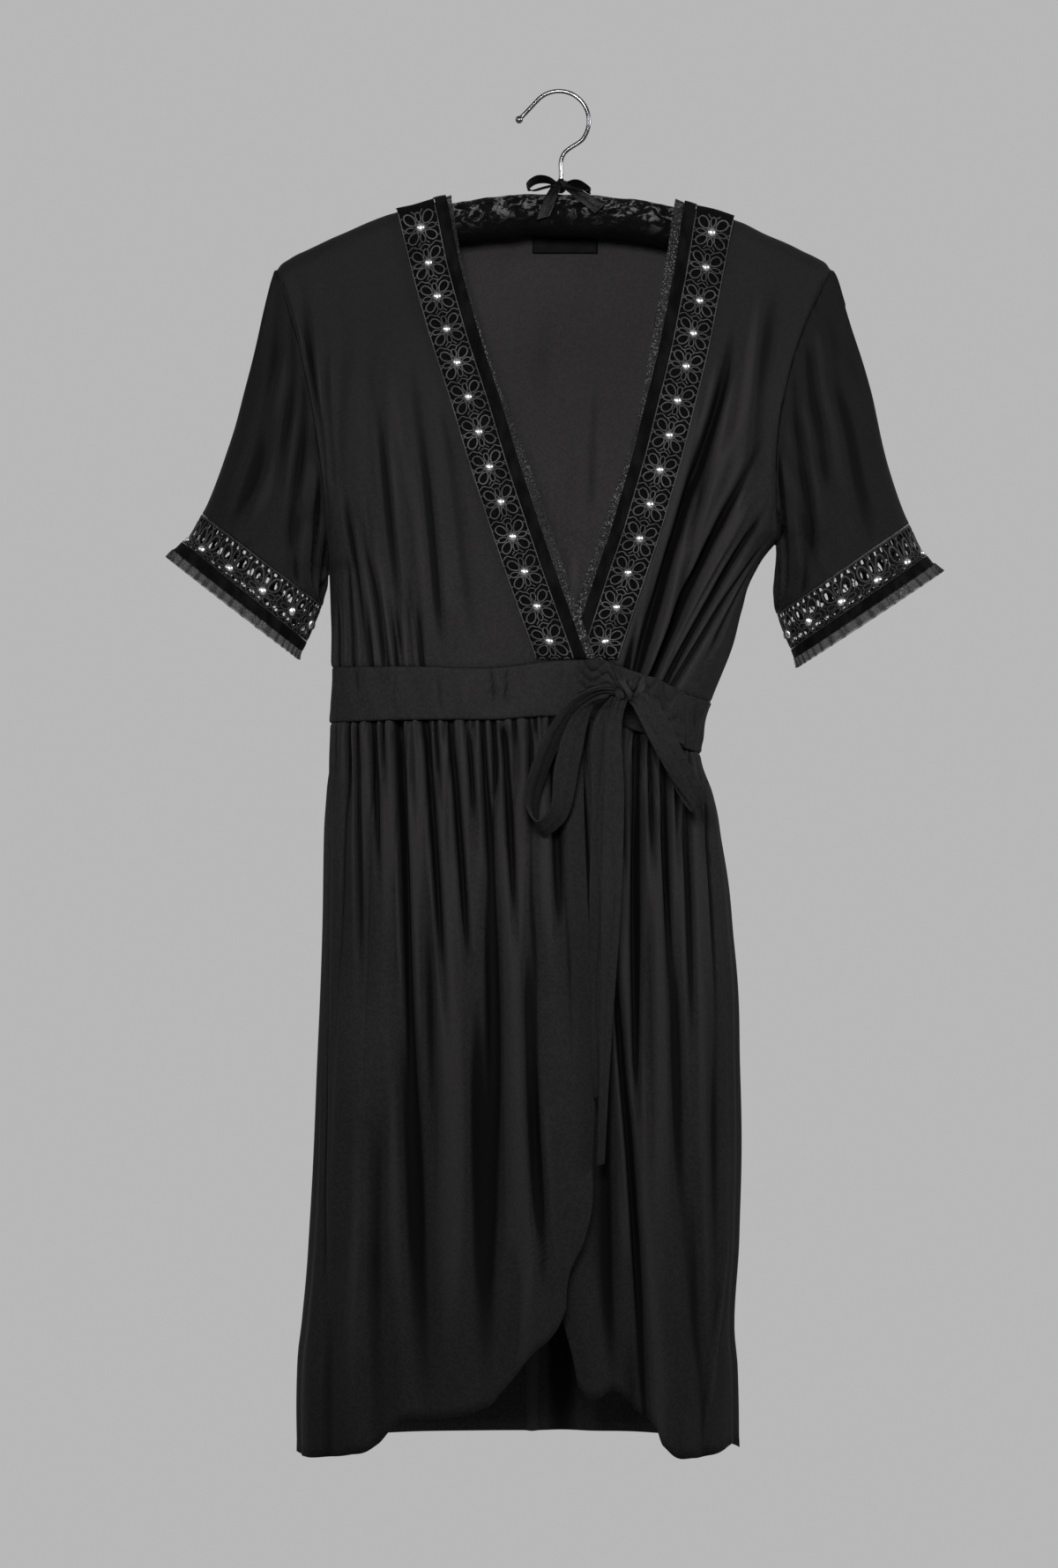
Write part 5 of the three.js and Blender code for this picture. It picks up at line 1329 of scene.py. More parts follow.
def tube_place(side, turn, along):
    line, hole = sleeve_line[side], ARMHOLES[SLEEVES[side][0]]
    angle = turn * 2 * math.pi
    share = (1 - np.cos(angle)) / 2
    loose = smooth(along / 0.9)
    bulge = hole["inward"] * np.sin(angle) ** 2 * (1 - loose)
    x = lerp(line["outX"](along), line["inX"](along), share) + bulge
    z = lerp(line["outZ"](along), line["inZ"](along), share)
    seam = np.where(np.sin(angle) >= 0, -depth_at("front", x, z), depth_at("back", x, z))
    tube = -line["half"](along) * np.sign(np.sin(angle)) * np.abs(np.sin(angle)) ** 0.9
    return points(x, lerp(seam, tube, loose), z)


def tube_middle(side, along):
    line = sleeve_line[side]
    along = np.asarray(along, float)
    return points((line["outX"](along) + line["inX"](along)) / 2, 0 * along,
                  (line["outZ"](along) + line["inZ"](along)) / 2)


print("middles of the cuffs:", {side: np.round(tube_middle(side, 2.5)) for side in SLEEVES})

# %% Sleeves
SLEEVE_LONG = 200               # about the length of a sleeve, for its seams
EASE_PUCKERS = 46
SLEEVE_FOLDS = table(
    "turn from_v to_v slant deep wide",
    (0.37, 0.0, 0.95, 0.15, 5.5, 0.014), (0.43, 0.0, 0.95, 0.09, 7, 0.013),
    (0.27, 0.0, 0.9, 0.13, 3.6, 0.02), (0.15, 0.1, 1.0, 0.08, 2.4, 0.03), (0.20, 0.0, 0.7, 0.1, 3, 0.02),
    (0.46, 0.3, 1.0, 0.03, 5, 0.012), (0.08, 0.0, 0.6, 0.0, 1.2, 0.03), (0.33, 0.4, 1.0, 0.08, 2.2, 0.011),
    (0.47, 0.1, 1.0, 0.02, 3.5, 0.012), (0.63, 0.0, 0.85, -0.15, 4, 0.014),
    (0.56, 0.05, 0.95, -0.08, 4, 0.013), (0.80, 0.1, 0.9, -0.05, 1.6, 0.03),
    (0.92, 0.1, 0.8, 0.0, 1.2, 0.03),
)


def sleeve(side):
    rough = ripples(81 if side == "right" else 82, (1, 4), (0.5, 2))

    def place(u, v):
        return tube_place(side, u, v)

    def lift(u, v, spot):
        out = 0.5 * rough(np.cos(2 * math.pi * u), v)
        for i in range(len(SLEEVE_FOLDS["turn"])):
            turn, start, stop, slant, deep, wide = (SLEEVE_FOLDS[k][i] for k in SLEEVE_FOLDS)
            down = (v - start) / (stop - start)
            apart = u - turn - slant * (down - 0.5)
            away = (apart - np.round(apart)) / wide
            fade = smooth(down * 4) * smooth((1 - down) * 3)
            out = out - deep * fade * trough(away)
        on_top = smooth((0.3 - np.abs(u - np.round(u))) / 0.1)
        ease = 0.5 * np.cos(2 * math.pi * u * EASE_PUCKERS) * np.exp(-(v / 0.035) ** 2) * on_top
        cuff_seam = groove((1 - v) * SLEEVE_LONG, 0.5, 1.2)
        return out + ease + groove(v * SLEEVE_LONG, *ARMHOLE_GROOVE) + cuff_seam

    panel(f"arm_{side}", (130, 60), place, tube_middle(side, 0.5), (CREPE_SLEEVE_SHADED, "crepe"),
          [f"sleeve_{side}"], "hung", ["hanger_body"], lift, closed=True)


for side in SLEEVES:
    sleeve(side)

# %% [markdown]
# ## Trims on the neck edge
# Each front is edged with flower lace, velvet ribbon and a crimped frill. They lie on the cloth, so
# each of their points is a place on the front, moved out by what lies beneath. Distances down the band
# are measured along the cloth, which keeps the flowers evenly spaced over the shoulder.


# %% The way down a neck band
LACE_LEAD = 17                  # length of band above the first flower's cell
NECK_FLOWERS = 13
RIDE = 0.8                      # height of the trims' undersides over the cloth's face
TRIM = 1.1                      # thickness of a trim
STEP = 0.25
neck_route = {}
for side in NECK:
    seam = shoulder_z(band_x[side](NECK_SEAM_Z))
    stop = float(seam - (waist_front["top"](band_x[side](NECK_FOOT_Z)) + 1))
    drops = np.arange(0, stop, STEP)
    line = skin("front", *band_place(side, 0.0, drops))
    lengths = np.concatenate([[0], np.cumsum(np.linalg.norm(np.diff(line, axis=0), axis=1))])
    neck_route[side] = (drops, lengths, stop)
    print("neck band", side, "is", round(lengths[-1]), "mm long")


def skin_normal(x, z):
    """The way straight out of the front at a place on it."""
    step = 0.5
    right = skin("front", x + step, z) - skin("front", x - step, z)
    up = skin("front", x, z + step) - skin("front", x, z - step)
    way = np.cross(right, up)
    return way / np.linalg.norm(way, axis=-1, keepdims=True)


def lay(side, out, length, rise):
    """A place on a neck band: out towards the throat, length down the band, rise off the cloth."""
    drops, lengths, stop = neck_route[side]
    drop = np.interp(length, lengths, drops)
    lean = out * 0.28 * smooth((drop - 8) / 40) * (1 - smooth((drop - stop + 30) / 30))
    x, z = band_place(side, out, drop, lean)
    z = np.maximum(z, waist_front["top"](x) + 1)
    settled = 1.5 * (1 - smooth((drop - 60) / 80)) + 0.6 * (1 - smooth((drop - 25) / 30))
    hollow = smooth((-310 - z) / 30) if side == "left" else 0
    spot = skin("front", x, z)
    return spot + skin_normal(x, z) * (rise + settled + hollow + LAPS[side](x, z))[..., None]


# %% [markdown]
# ## Flower lace
# The lace is a cord laid in loops: four wide petals on the slant, four narrow ones between them, a ring
# round a silver dome, small cells between one flower and the next, and a straight cord along each edge.
# A loop is a grid rolled into a tube along its outline. One flower is drawn flat and repeated down the
# band, and then the whole band is bent onto the cloth.


# %% Cords in the flat
CORD_SQUASH = 0.8               # a cord is this much flatter than round


def tube(form, outline, radius, segments, sides=5, closed=True):
    """A cord along outline(t), which gives x, y and z in millimetres for t from 0 to 1."""
    made = bmesh.ops.create_grid(form, x_segments=segments, y_segments=sides, size=0.5)["verts"]
    flat = np.array([vert.co for vert in made])
    t, turn = flat[:, 0] + 0.5, (flat[:, 1] + 0.5) * 2 * math.pi
    step = 1e-3
    x, y, z = outline(t)
    ahead, behind = outline(t + step), outline(t - step)
    dx, dy = ahead[0] - behind[0], ahead[1] - behind[1]
    size = np.hypot(dx, dy)
    side_x, side_y = -dy / size, dx / size
    for i, vert in enumerate(made):
        out = radius * math.cos(turn[i])
        vert.co = (x[i] + side_x[i] * out, y[i] + side_y[i] * out,
                   z[i] + radius * CORD_SQUASH * (math.sin(turn[i]) + 1))
    bmesh.ops.remove_doubles(form, verts=made, dist=1e-4)
    if not closed:
        around = {edge for vert in made if vert.is_valid for edge in vert.link_edges}
        bmesh.ops.holes_fill(form, edges=[edge for edge in around if edge.is_boundary], sides=0)


def petal(distance, angle, long, wide, blunt):
    """The outline of a petal: an oval that is wider at its outer end."""
    def outline(t):
        turn = 2 * math.pi * t
        along = distance + long * np.cos(turn)
        across = wide * np.sin(turn) * (1 + blunt * np.cos(turn))
        x = along * math.cos(angle) - across * math.sin(angle)
        y = along * math.sin(angle) + across * math.cos(angle)
        return x, y, 0 * t
    return outline


def straight(x0, y0, x1, y1):
    return lambda t: (lerp(x0, x1, t), lerp(y0, y1, t), 0 * t)


def small_ring(radius):
    return lambda t: (radius * np.cos(2 * math.pi * t), radius * np.sin(2 * math.pi * t), 0 * t)


print("a straight cord's middle:", straight(0, 0, 4, 2)(0.5))


# %% One flower
LACE_CELL = 28.0                # one flower, along the band
EDGE_X = 13.7                   # the straight cords along the band's edges
LOOP_FROM = 11.4                # short cords start here, at a narrow petal's tip
RING_RADIUS = 3.7


def wavy_cord(t):
    """The cord between one flower's cell and the next."""
    return lerp(-13.6, 13.6, t), LACE_CELL / 2 + 1.1 * np.cos(6 * math.pi * t), 0 * t


def flower(form, radius):
    """One flower of the lace, in a cell as long as the pitch, centred on zero."""
    thin = radius * 0.8

    def short_cord(ends, segments):
        tube(form, straight(*ends), thin, segments, 4, closed=False)

    for quarter in range(4):
        slant = (quarter + 0.5) * math.pi / 2
        axis = quarter * math.pi / 2
        tube(form, petal(9.4, slant, 4.9, 3.3, 0.18), radius, 24)
        tube(form, petal(7.7, axis, 3.5, 1.9, 0.2), radius * 0.85, 18)
    tube(form, small_ring(RING_RADIUS), radius, 18)
    tube(form, wavy_cord, thin, 30, 4, closed=False)
    for hand in (-1, 1):
        short_cord((hand * LOOP_FROM, 0.0, hand * EDGE_X, 2.2), 3)
        short_cord((hand * LOOP_FROM, 0.0, hand * EDGE_X, -2.2), 3)
        for end in (-1, 1):
            short_cord((hand * 11.8, end * 8.6, hand * EDGE_X, end * 8.2), 2)
            short_cord((hand * 2.2, end * 10.6, hand * 4.4, end * 13.2), 3)


print("a flower's cell:", LACE_CELL, "mm")


# %% Bands of flowers and their domes
CORD_RADIUS = {"neck": 0.6, "cuff": 0.66}
DOME_RADIUS = 3.3
DOME_HEIGHT = 2.3
DOME_SEAT = 0.9                 # height of a dome's foot over the lace


def lace_band(name, flowers, place, nodes, kind):
    """place(across, along, height) takes across and height in mm and along in flowers."""
    form = bmesh.new()
    radius = CORD_RADIUS[kind]
    flower(form, radius)
    template = list(form.verts) + list(form.edges) + list(form.faces)
    for i in range(1, flowers):
        copy = bmesh.ops.duplicate(form, geom=template)["geom"]
        moved = [item for item in copy if isinstance(item, bmesh.types.BMVert)]
        bmesh.ops.translate(form, verts=moved, vec=(0, i * LACE_CELL, 0))
    first, last = -LACE_CELL / 2, (flowers - 0.5) * LACE_CELL
    for edge in (-EDGE_X, EDGE_X):
        tube(form, straight(edge, first, edge, last), radius * 0.75, flowers * 8, 4, closed=False)
    flat = np.array([vert.co for vert in form.verts])
    bent = place(flat[:, 0], flat[:, 1] / LACE_CELL + 0.5, flat[:, 2])
    for vert, corner in zip(form.verts, bent * MM):
        vert.co = corner
    bmesh.ops.recalc_face_normals(form, faces=form.faces)
    finish_piece(link_mesh(name, form), CORD[kind], "lace", nodes)
    print(name, "has", flowers, "flowers")


def domes(name, flowers, place):
    form = bmesh.new()
    for i in range(flowers):
        made = bmesh.ops.create_uvsphere(form, u_segments=14, v_segments=8, radius=1)["verts"]
        flat = np.array([vert.co for vert in made])
        bent = place(flat[:, 0] * DOME_RADIUS, i + 0.5 + flat[:, 1] * DOME_RADIUS / LACE_CELL,
                     DOME_SEAT + flat[:, 2] * np.where(flat[:, 2] > 0, DOME_HEIGHT, 0.5))
        for vert, corner in zip(made, bent * MM):
            vert.co = corner
    bmesh.ops.recalc_face_normals(form, faces=form.faces)
    finish_piece(link_mesh(name, form), DOME, "studs")


# %% Lace, ribbon and frill on the neck
NECK_CRIMPS = 112
FRILL_UNDER = 1.5               # how far the frill runs under the ribbon
# In places the frill is folded back under the ribbon, and less of its width shows
FRILL_SHOWN = {
    "right": table("share width", (0, 0.7), (0.08, 0.5), (0.45, 0.5), (0.58, 1), (1, 1)),
    "left": table("share width", (0, 1), (0.36, 1), (0.46, 0.6), (0.58, 0.65), (0.7, 0.95), (1, 1)),
}


def crimp(u, v, spot):
    phase = u * NECK_CRIMPS + 1.3 * uneven(7, 6, 24)(u)
    tuft = 0.35 + 0.65 * random_line(17, u * NECK_CRIMPS * 0.9)
    wave = np.sin(2 * math.pi * phase + 2.2 * v) * (0.2 + 1.3 * v) * tuft
    return wave + 0.7 * v * uneven(8, 20, 60)(u) + 0.1


def neck_trims(side):
    total = neck_route[side][1][-1]
    pitch = (total - LACE_LEAD) / NECK_FLOWERS
    shown = track(FRILL_SHOWN[side], "share", "width")
    front = [f"front_bodice_{side}"]

    def on_band(across, along, height):
        return lay(side, across * -SLANT, LACE_LEAD + along * pitch, RIDE + 0.5 + height)

    def ground_place(u, v):
        return lay(side, lerp(-HALF_LACE, HALF_LACE, u), v * total, RIDE + 0.45 + 0 * v)

    def ribbon_place(u, v):
        return lay(side, lerp(RIBBON_FROM, RIBBON_TO, u), v * total, RIDE + TRIM + 0 * v)

    def ribbon_lift(u, v, spot):
        return 0.3 * np.sin(math.pi * u) ** 0.5 + 0.15 * uneven(5, 3, 12)(v)

    def frill_place(u, v):
        out = FRILL_FROM - FRILL_UNDER + (FRILL_TO - FRILL_FROM + FRILL_UNDER) * v * shown(u)
        return lay(side, out, u * total, 0.2 * v)

    lace_band(f"lace_{side}", NECK_FLOWERS, on_band, [], "neck")
    domes(f"domes_{side}", NECK_FLOWERS, on_band)
    panel(f"lace_ground_{side}", (14, 160), ground_place, INSIDE_BODICE, (GROUND, "lace"),
          [f"neck_lace_{side}"], "laid", front, wall=0.4)
    panel(f"velvet_{side}", (12, 200), ribbon_place, INSIDE_BODICE, (VELVET, "velvet"),
          [f"neck_ribbon_{side}"], "laid", front, ribbon_lift, wall=0.9)
    panel(f"frill_{side}", (670, 5), frill_place, INSIDE_BODICE, (TULLE, "tulle"),
          [f"neck_frill_{side}"], "gathered", front, crimp, wall=0.35)


for side in NECK:
    neck_trims(side)

# %% [markdown]
# ## Cuffs
# The cuffs carry the same lace on their open net, with nothing behind it, so the light comes through. A
# ribbon and a pleated frill finish the edge. Each is a length of the sleeve's tube, read further down.

# %% Cuff trims
CUFF_FLOWERS = 12
TRIM_SEAM = 0.018               # share of a trim's width that is left clear at its seams
CUFF_PLEATS = 38


def net_lift(u, v, spot):
    return -0.9 + 0 * u


def cuff_ribbon_lift(u, v, spot):
    return 0.3 * np.sin(math.pi * v) ** 0.5 - 0.2


def pleat(u, v, spot):
    phase = u * CUFF_PLEATS + 0.35 * np.sin(2 * math.pi * 5 * u)
    knife = 2 * np.abs(np.sin(math.pi * phase)) ** 0.6 - 1
    return knife * (0.5 + 0.9 * v) + 0.25 * np.sin(2 * math.pi * (phase * 3)) * v


def cuff_trims(side):
    middle = tube_middle(side, 2.5)
    arm = [f"arm_{side}"]

    def length_of_tube(start, stop):
        return lambda u, v: tube_place(side, u, lerp(start, stop, v))

    def on_cuff(across, along, height):
        turn = along / CUFF_FLOWERS
        down = 1.5 + across / LACE_WIDTH * (1 - TRIM_SEAM)
        spot = tube_place(side, turn, down)
        out = spot - tube_middle(side, down)
        out = out / np.linalg.norm(out, axis=-1, keepdims=True)
        return spot + out * (height - TRIM)[..., None]

    lace_band(f"cuff_lace_cords_{side}", CUFF_FLOWERS, on_cuff,
              [f"cuff_lace_{side}_front", f"cuff_lace_{side}_back"], "cuff")
    net = cloth(f"cuff_net_{side}", (180, 14), length_of_tube(1 + TRIM_SEAM, 2 - TRIM_SEAM), middle,
                net_lift, wall=0, closed=True)
    around, tall, _ = cut_sizes[net.name]
    finish_piece(net, make_net(net.name, around, tall, CUFF_FLOWERS, LACE_CELL), "lace")
    declare_sheet(net)
    domes(f"cuff_domes_{side}", CUFF_FLOWERS, on_cuff)
    panel(f"cuff_velvet_{side}", (200, 10), length_of_tube(2 + TRIM_SEAM, 3 - TRIM_SEAM), middle,
          (VELVET, "velvet"), [f"cuff_ribbon_{side}"], "stretched", arm, cuff_ribbon_lift,
          wall=0.9, closed=True)
    panel(f"cuff_frill_sheer_{side}", (456, 8), length_of_tube(2.9, 4), middle, (SHEER, "tulle"),
          [f"cuff_frill_{side}"], "gathered", arm, pleat, wall=0.3, closed=True)


for side in SLEEVES:
    cuff_trims(side)

# %% [markdown]
# ## Belt
# The belt is a folded strip. Each loop and tail is a row of places along its front rim, with the way
# from there to its other rim, and a smooth curve runs through them. Near the knot the strip is squeezed
# into creases.


# %% Curves and strips
def curve_through(knots):
    """A smooth curve through the rows of an array, with pace set by the distances between them."""
    knots = np.array(knots, float)
    gaps = np.maximum(np.linalg.norm(np.diff(knots[:, :3], axis=0), axis=1), 1e-3) ** 0.5
    times = np.concatenate([[0], np.cumsum(gaps)])
    times /= times[-1]
    slopes = np.gradient(knots, times, axis=0)

    def at(t):
        t = np.clip(t, 0, 1)
        i = np.clip(np.searchsorted(times, t, side="right") - 1, 0, len(times) - 2)
        span = (times[i + 1] - times[i])[:, None]
        s = ((t - times[i]) / span[:, 0])[:, None]
        a, b = knots[i], knots[i + 1]
        return ((2 * s ** 3 - 3 * s ** 2 + 1) * a + (s ** 3 - 2 * s ** 2 + s) * span * slopes[i]
                + (3 * s ** 2 - 2 * s ** 3) * b + (s ** 3 - s ** 2) * span * slopes[i + 1])

    return at


print("a curve's middle:", np.round(curve_through([(0, 0, 0), (1, 2, 0), (4, 2, 0)])(np.array([0.5])), 2))


# %% A folded strip
EDGE_ROUND = 0.3


def strip(name, rows, finish, slot, nodes, wall, grid, crease, soften=0.25, ridges=0.0):
    """crease pinches the ends. ridges raises gathers that run the whole length."""
    curve = curve_through(rows)
    wander = uneven(len(name), 0.6, 3)

    def place(u, v):
        spot = curve(v)
        return spot[:, :3] + spot[:, 3:] * u[:, None]

    def lift(u, v, spot):
        pinch = crease[0] * np.exp(-(v / 0.1) ** 2) + crease[1] * np.exp(-((1 - v) / 0.1) ** 2)
        folds = (np.abs(np.cos(math.pi * (2.6 * u + 0.3))) ** 0.6 - 0.5) * 1.6 * pinch
        cup = soften * wander(v) * (2 * u - 1) ** 2 * 2
        drawn = np.abs(np.cos(math.pi * (2.4 * u ** 1.2 + 0.5 * wander(v) + 0.1))) ** 0.6 - 0.7
        strength = ridges * drawn * np.sin(math.pi * np.clip(v, 0.02, 0.98)) ** 0.4
        fold_line = groove((u - 0.55 - 0.12 * wander(v)) * 16, 0.5, 1.3)
        return folds + cup + wall / 2 + strength + fold_line

    piece = cloth(name, grid, place, (0, 400, -600), lift, wall=wall)
    bevel = piece.modifiers.new("soft_edges", "BEVEL")
    bevel.width = EDGE_ROUND * MM
    bevel.segments = 2
    return finish_piece(piece, finish, slot, nodes)


print("edges of strips are rounded by", EDGE_ROUND, "mm")

# %% Lines of the belt
BELT = 1.5                      # thickness of the folded strip


def on_waist(x, z, out, *reach):
    """A place on the waistband, moved out from its face."""
    spot = skin("front", np.array(float(x)), np.array(float(z)))
    return (x, float(spot[1]) - out, z, *reach)


BELT_PIECES = {
    "belt_loop_right": [
        (43, -68, -474, 0.5, 4, -4), (33, -70, -473, 1, 7, -6), (22, -72, -476, 3, 10, -7),
        (8, -74, -485, 8, 12, -7), (-8, -76, -505, 12, 12, -6), (-22, -78, -536, 12, 13, -4),
        (-27.6, -79, -560, 10, 14, -8), (-18, -80, -577, 6, 14, -11), (-8, -80, -568, 12, 14, -8),
        (-4, -78, -534, 19, 11, 2), (8, -76, -499, 15, 9, 4), (24, -73, -485, 6, 6, 3),
        (36, -71, -482, 2, 3, 1)],
    "belt_loop_left": [
        (57, -68, -479, -3, 1, -6), (66, -73, -477, -10, 1, -11), (78, -75, -491, -14, 1, -13),
        (90, -74, -513, -16, 1, -11), (101, -69, -535, -15, 1, -9), (112, -62, -556, -11, 1, -9),
        (113, -59, -562, -11, 1, -8), (106, -57, -552, -12, 1, -8), (91, -58, -522, -13, 1, -8),
        (76, -60, -497, -12, 1, -8), (62, -61, -485, -3, 1, -4)],
    "belt_tail_front": [
        (45, -69, -479, 8, 0, 0), (37, -70, -500, 11, 0, 0), (34, -70, -560, 15.5, 1, 0),
        (32, -71, -640, 15, 2, 0), (31, -72, -720, 10.5, 4, 0), (30, -73, -800, 6, 6, 0),
        (29, -73, -842, 5, 7, 0)],
    "belt_tail_back": [
        (41, -64.5, -481.5, 4, 1, 0), (26.5, -66, -500, 12, 1, 0), (24.5, -66.5, -560, 13, 1, 0),
        (23, -67, -640, 13, 1, 0), (24.5, -68.5, -720, 10, 1, 0), (26, -70, -790, 5, 1, 0)],
    "belt_strap_right": [
        on_waist(14.5, -453, 1.6, 0, 0, -25), on_waist(18, -452.6, 3.4, 0, 0, -24),
        (25, -59.5, -451.6, 0, 1, -21), (33, -63, -452.4, 0, 1, -20), (40, -65, -456, 0, 1, -18),
        (44.5, -65.5, -463, 0, 1.5, -14), (48, -65, -469, 0, 1.5, -10)],
    "belt_strap_left": [
        (58, -64, -467, 0, 1, -10), (66, -61.5, -465, 0, 1, -17), (73, -56.5, -466, 0, 1, -27),
        on_waist(82, -469.5, 1.8, 0, 0, -39), on_waist(90, -473.5, 0.4, 0, 0, -40.5),
        on_waist(98, -477, -1, 0, 0, -41.5)],
}
print("belt pieces:", list(BELT_PIECES))

# %% Belt bow
CREASES = {"belt_loop_right": (1.2, 1.2), "belt_loop_left": (1.4, 1.2), "belt_strap_right": (0, 0),
           "belt_strap_left": (0, 0)}
for name, rows in BELT_PIECES.items():
    strap = "strap" in name
    grid = (36, 50) if strap else (14, 110)
    piece = strip(name.replace("belt", "sash"), rows, CREPE, "crepe", [name], BELT, grid,
                  CREASES.get(name, (1.0, 0)), ridges=1.7 if strap else 0.0)
    declare_sheet(piece)

# %% [markdown]
# The knot is a ball of wound cloth. A sphere of fine facets is squeezed to size and its surface is
# pushed into the ridges that the wrapped strip leaves.


# %% Belt knot
RIDGE_SHARE = 0.22              # share of a knot's size that its ridges and valleys take


def knot(name, lobes, finish, slot, nodes):
    """Each lobe has its centre, half its size, the number of its ridges and their tilt."""
    form = bmesh.new()
    relief = form.verts.layers.float.new("relief")
    for centre, half, ridges, tilt in lobes:
        for vert in bmesh.ops.create_icosphere(form, subdivisions=5, radius=1)["verts"]:
            x, y, z = vert.co
            wind = math.cos(tilt) * x + math.sin(tilt) * z
            ridge = 2 * abs(math.cos(ridges / 2 * wind + 0.7 * y + 0.5 * math.sin(3 * z))) ** 0.5 - 1
            ridge += 0.2 * math.cos(2.3 * ridges * wind + 2 * z)
            # This relief makes the crepe paint shade in the knot's valleys and a highlight on its ridges
            vert[relief] = 1.3 * ridge - 0.2
            swell = 1 - RIDGE_SHARE + RIDGE_SHARE * ridge
            waist = 1 - 0.14 * math.exp(-((z - 0.1) / 0.35) ** 2) * max(-y, 0)
            vert.co = tuple((centre[i] + half[i] * (x, y, z)[i] * swell * waist) * MM for i in range(3))
    finish_piece(link_mesh(name, form), finish, slot, nodes)


KNOT_LOBES = [((50, -68, -476), (7.6, 8, 10), 5.0, 0.5), ((61, -67, -473.6), (7.8, 7, 10.4), 5.4, -0.7)]
knot("sash_knot", KNOT_LOBES, CREPE, "crepe", ["belt_knot"])

# %% [markdown]
# ## Hanger
# The bar is wadding in a crushed velvet sleeve, so it is a rounded form with soft dents and a seam along
# its underside. A steel wire hook comes out of its middle, with a ribbon tied round its foot.

# %% Padded bar
HANGER_HALF = 209
PAD_HEIGHT = 35
PAD_DEPTH = 31
PAD_TOP = 2.4                   # cloth and gap above the pad


def pad_place(u, v):
    out = lerp(-1, 1, v)
    x = SHOULDER_MIDDLE + HANGER_HALF * np.sin(out * math.pi / 2)
    end = np.sqrt(np.maximum(1 - np.abs(out) ** 5, 1e-6))
    height = PAD_HEIGHT / 2 * end
    top = shoulder_z(x) - PAD_TOP
    middle = top - PAD_HEIGHT / 2 - (PAD_HEIGHT / 2 - height) * 0.3
    angle = u * 2 * math.pi
    return points(x, PAD_DEPTH / 2 * end * np.sin(angle), middle + height * np.cos(angle))


def dents(seed, shortest, longest, count=24):
    """A soft unevenness through space, with its waves running every way."""
    source = np.random.default_rng(seed)
    ways = source.normal(size=(count, 3))
    ways /= np.linalg.norm(ways, axis=1, keepdims=True) * source.uniform(shortest, longest, (count, 1))
    start = source.uniform(0, 2 * math.pi, count)
    return lambda spot: np.cos(2 * math.pi * (spot @ ways.T) + start).sum(axis=1) / math.sqrt(count)


soft_dents = dents(91, 16, 40)
sharp_dents = dents(92, 6, 12)


def pad_lift(u, v, spot):
    ends = smooth(np.minimum(v, 1 - v) / 0.02)
    seam = groove((u - 0.5) * 100, 0.9, 1.2)
    return ends * (0.5 * soft_dents(spot) + 0.2 * sharp_dents(spot) - 0.5 + seam)


pad = cloth("hanger_pad", (56, 320), pad_place, (0, 0, -97), pad_lift, wall=0, closed=True)
finish_piece(pad, CRUSHED, "crushed_velvet", ["hanger_body"])
print("pad:", len(pad.data.vertices), "corners")

# %% Line of the hook
WIRE = 3.5
HOOK_RADIUS = 23.7
STEM_X = 1.6
BALL_RADIUS = 3.1
BALL_MIDDLE = (-31.6, 0, -20.9)
arc = np.radians(np.arange(140, -41, -10.0))
hook_top = WIRE / 2
HOOK_LINE = (
    [BALL_MIDDLE, (-29, 0, -18.2), (-23.5, 0, -12.4)]
    + [(HOOK_RADIUS * math.cos(a), 0, hook_top - HOOK_RADIUS + HOOK_RADIUS * math.sin(a)) for a in arc]
    + [(4.6, 0, -47), (STEM_X, 0, -54), (STEM_X, 0, -62), (STEM_X, 0, -79.4)]
)
hook_curve = curve_through(HOOK_LINE)


def hook_place(u, v):
    step = 1e-3
    spot = hook_curve(v)
    way = hook_curve(np.minimum(v + step, 1)) - hook_curve(np.maximum(v - step, 0))
    way /= np.linalg.norm(way, axis=-1, keepdims=True)
    side = np.cross(way, [0, 1, 0])
    angle = (u * 2 * math.pi)[:, None]
    return spot + WIRE / 2 * (np.cos(angle) * side + np.sin(angle) * np.array([0, 1, 0]))


print("the hook is", round(2 * HOOK_RADIUS + WIRE, 1), "mm across its arc")

# %% Hook with the ball on its tip
hook = cloth("wire_hook", (16, 220), hook_place, (0, 0, -22), wall=0, closed=True)
form = bmesh.new()
form.from_mesh(hook.data)
open_edges = [edge for edge in form.edges if edge.is_boundary]
bmesh.ops.holes_fill(form, edges=open_edges, sides=0)
tip = bmesh.ops.create_uvsphere(form, u_segments=20, v_segments=14, radius=BALL_RADIUS * MM)["verts"]
bmesh.ops.translate(form, verts=tip, vec=Vector(BALL_MIDDLE) * MM)
bmesh.ops.recalc_face_normals(form, faces=form.faces)
form.to_mesh(hook.data)
form.free()
hook.data.polygons.foreach_set("use_smooth", np.ones(len(hook.data.polygons), bool))
finish_piece(hook, WIRE_STEEL, "chrome", ["hanger_hook", "hook_tip"])
print("hook:", len(hook.data.vertices), "corners")

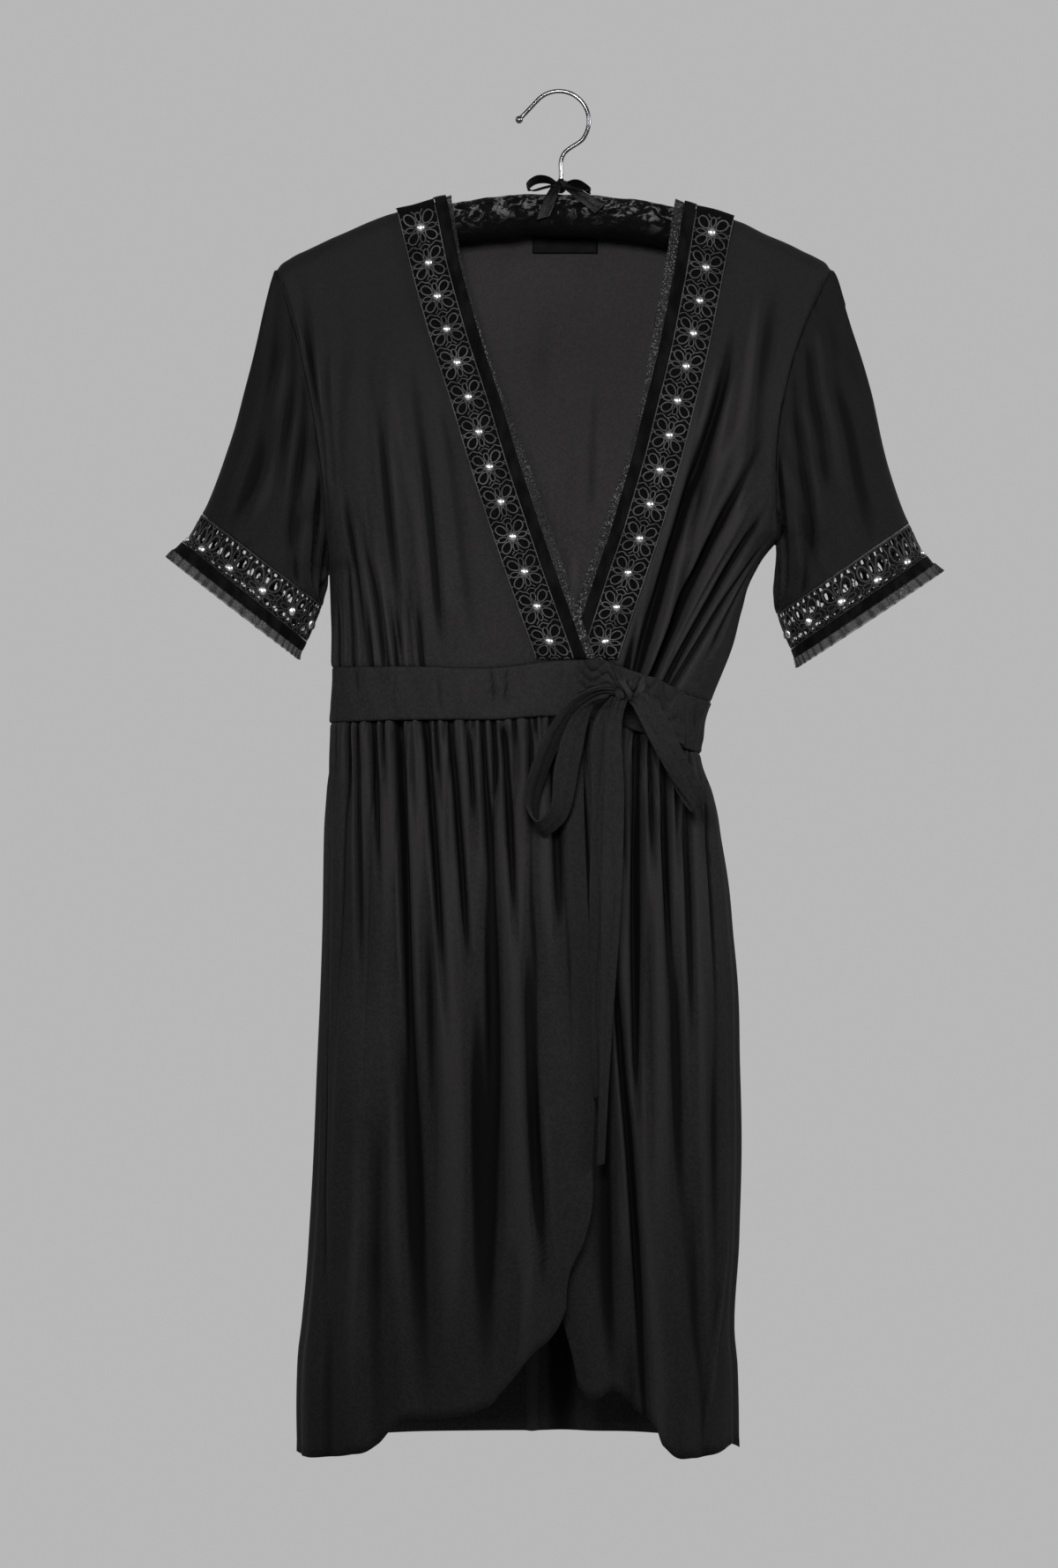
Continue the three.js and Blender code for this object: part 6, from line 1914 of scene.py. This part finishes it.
# %% [markdown]
# ## Small ribbon and label
# A narrow satin ribbon is tied round the foot of the hook, from the same strips and knot as the belt. A
# plain woven label lies inside the neck of the back.

# %% Ribbon bow on the hook
RIBBON_PIECES = {
    "ribbon_loop_right": [
        (-1, -10, -73, 0, 6, -3), (-8, -12, -68.5, 0, 8, -4), (-18, -13, -68, 0, 9, -5),
        (-25.5, -15, -74.5, 1, 8, -4), (-21, -18, -81, 1, 6, 2), (-11, -18, -79.5, 1, 5, 3),
        (-2, -15, -76, 0, 4, 2)],
    "ribbon_loop_left": [
        (4, -10, -73, 0, 6, -3), (11, -12, -71, 0, 8, -5), (18, -15, -73, 0, 8, -5),
        (24.5, -18.5, -79.5, 0, 6, -3), (17, -19.5, -81, 0, 4, 2), (5, -15.5, -77, 0, 4, 1)],
    "ribbon_tail_right": [
        (-5, -13, -75, 8, 0, 1), (-11.5, -17.5, -86, 10.5, 0, 2), (-18, -19, -104, 11, 0, 3)],
    "ribbon_tail_left": [(0, -13, -75, 8, 0, 0), (11, -17.5, -85, 9.5, 0, 3), (28, -19, -99, 8, 0, 7)],
}
for name, rows in RIBBON_PIECES.items():
    piece = strip(name.replace("ribbon", "hook_bow"), rows, SATIN, "satin", [name], 0.7, (8, 60),
                  (0.5, 0), 0.2)
    declare_sheet(piece)
knot("hook_bow_knot", [((2, -10, -75), (5.6, 6.4, 5.6), 4.6, 0.2)], SATIN, "satin", ["ribbon_knot"])

# %% Plain label
LABEL_OFF = 1.5 + 0.8           # the label hangs clear of the cloth and its wall


def label_place(u, v):
    spot = skin("back", lerp(-21, 31, u), lerp(-111.5, -124, v))
    return spot - np.array([0, LABEL_OFF, 0])


def label_lift(u, v, spot):
    return 0.25 * uneven(9, 1, 3)(u) + 0 * v


panel("plain_label", (40, 12), label_place, (0, 0, -118), (LABEL, "satin"), ["neck_label"], "laid",
      ["back_bodice"], label_lift, wall=0.5)

# %% [markdown]
# ## Closing
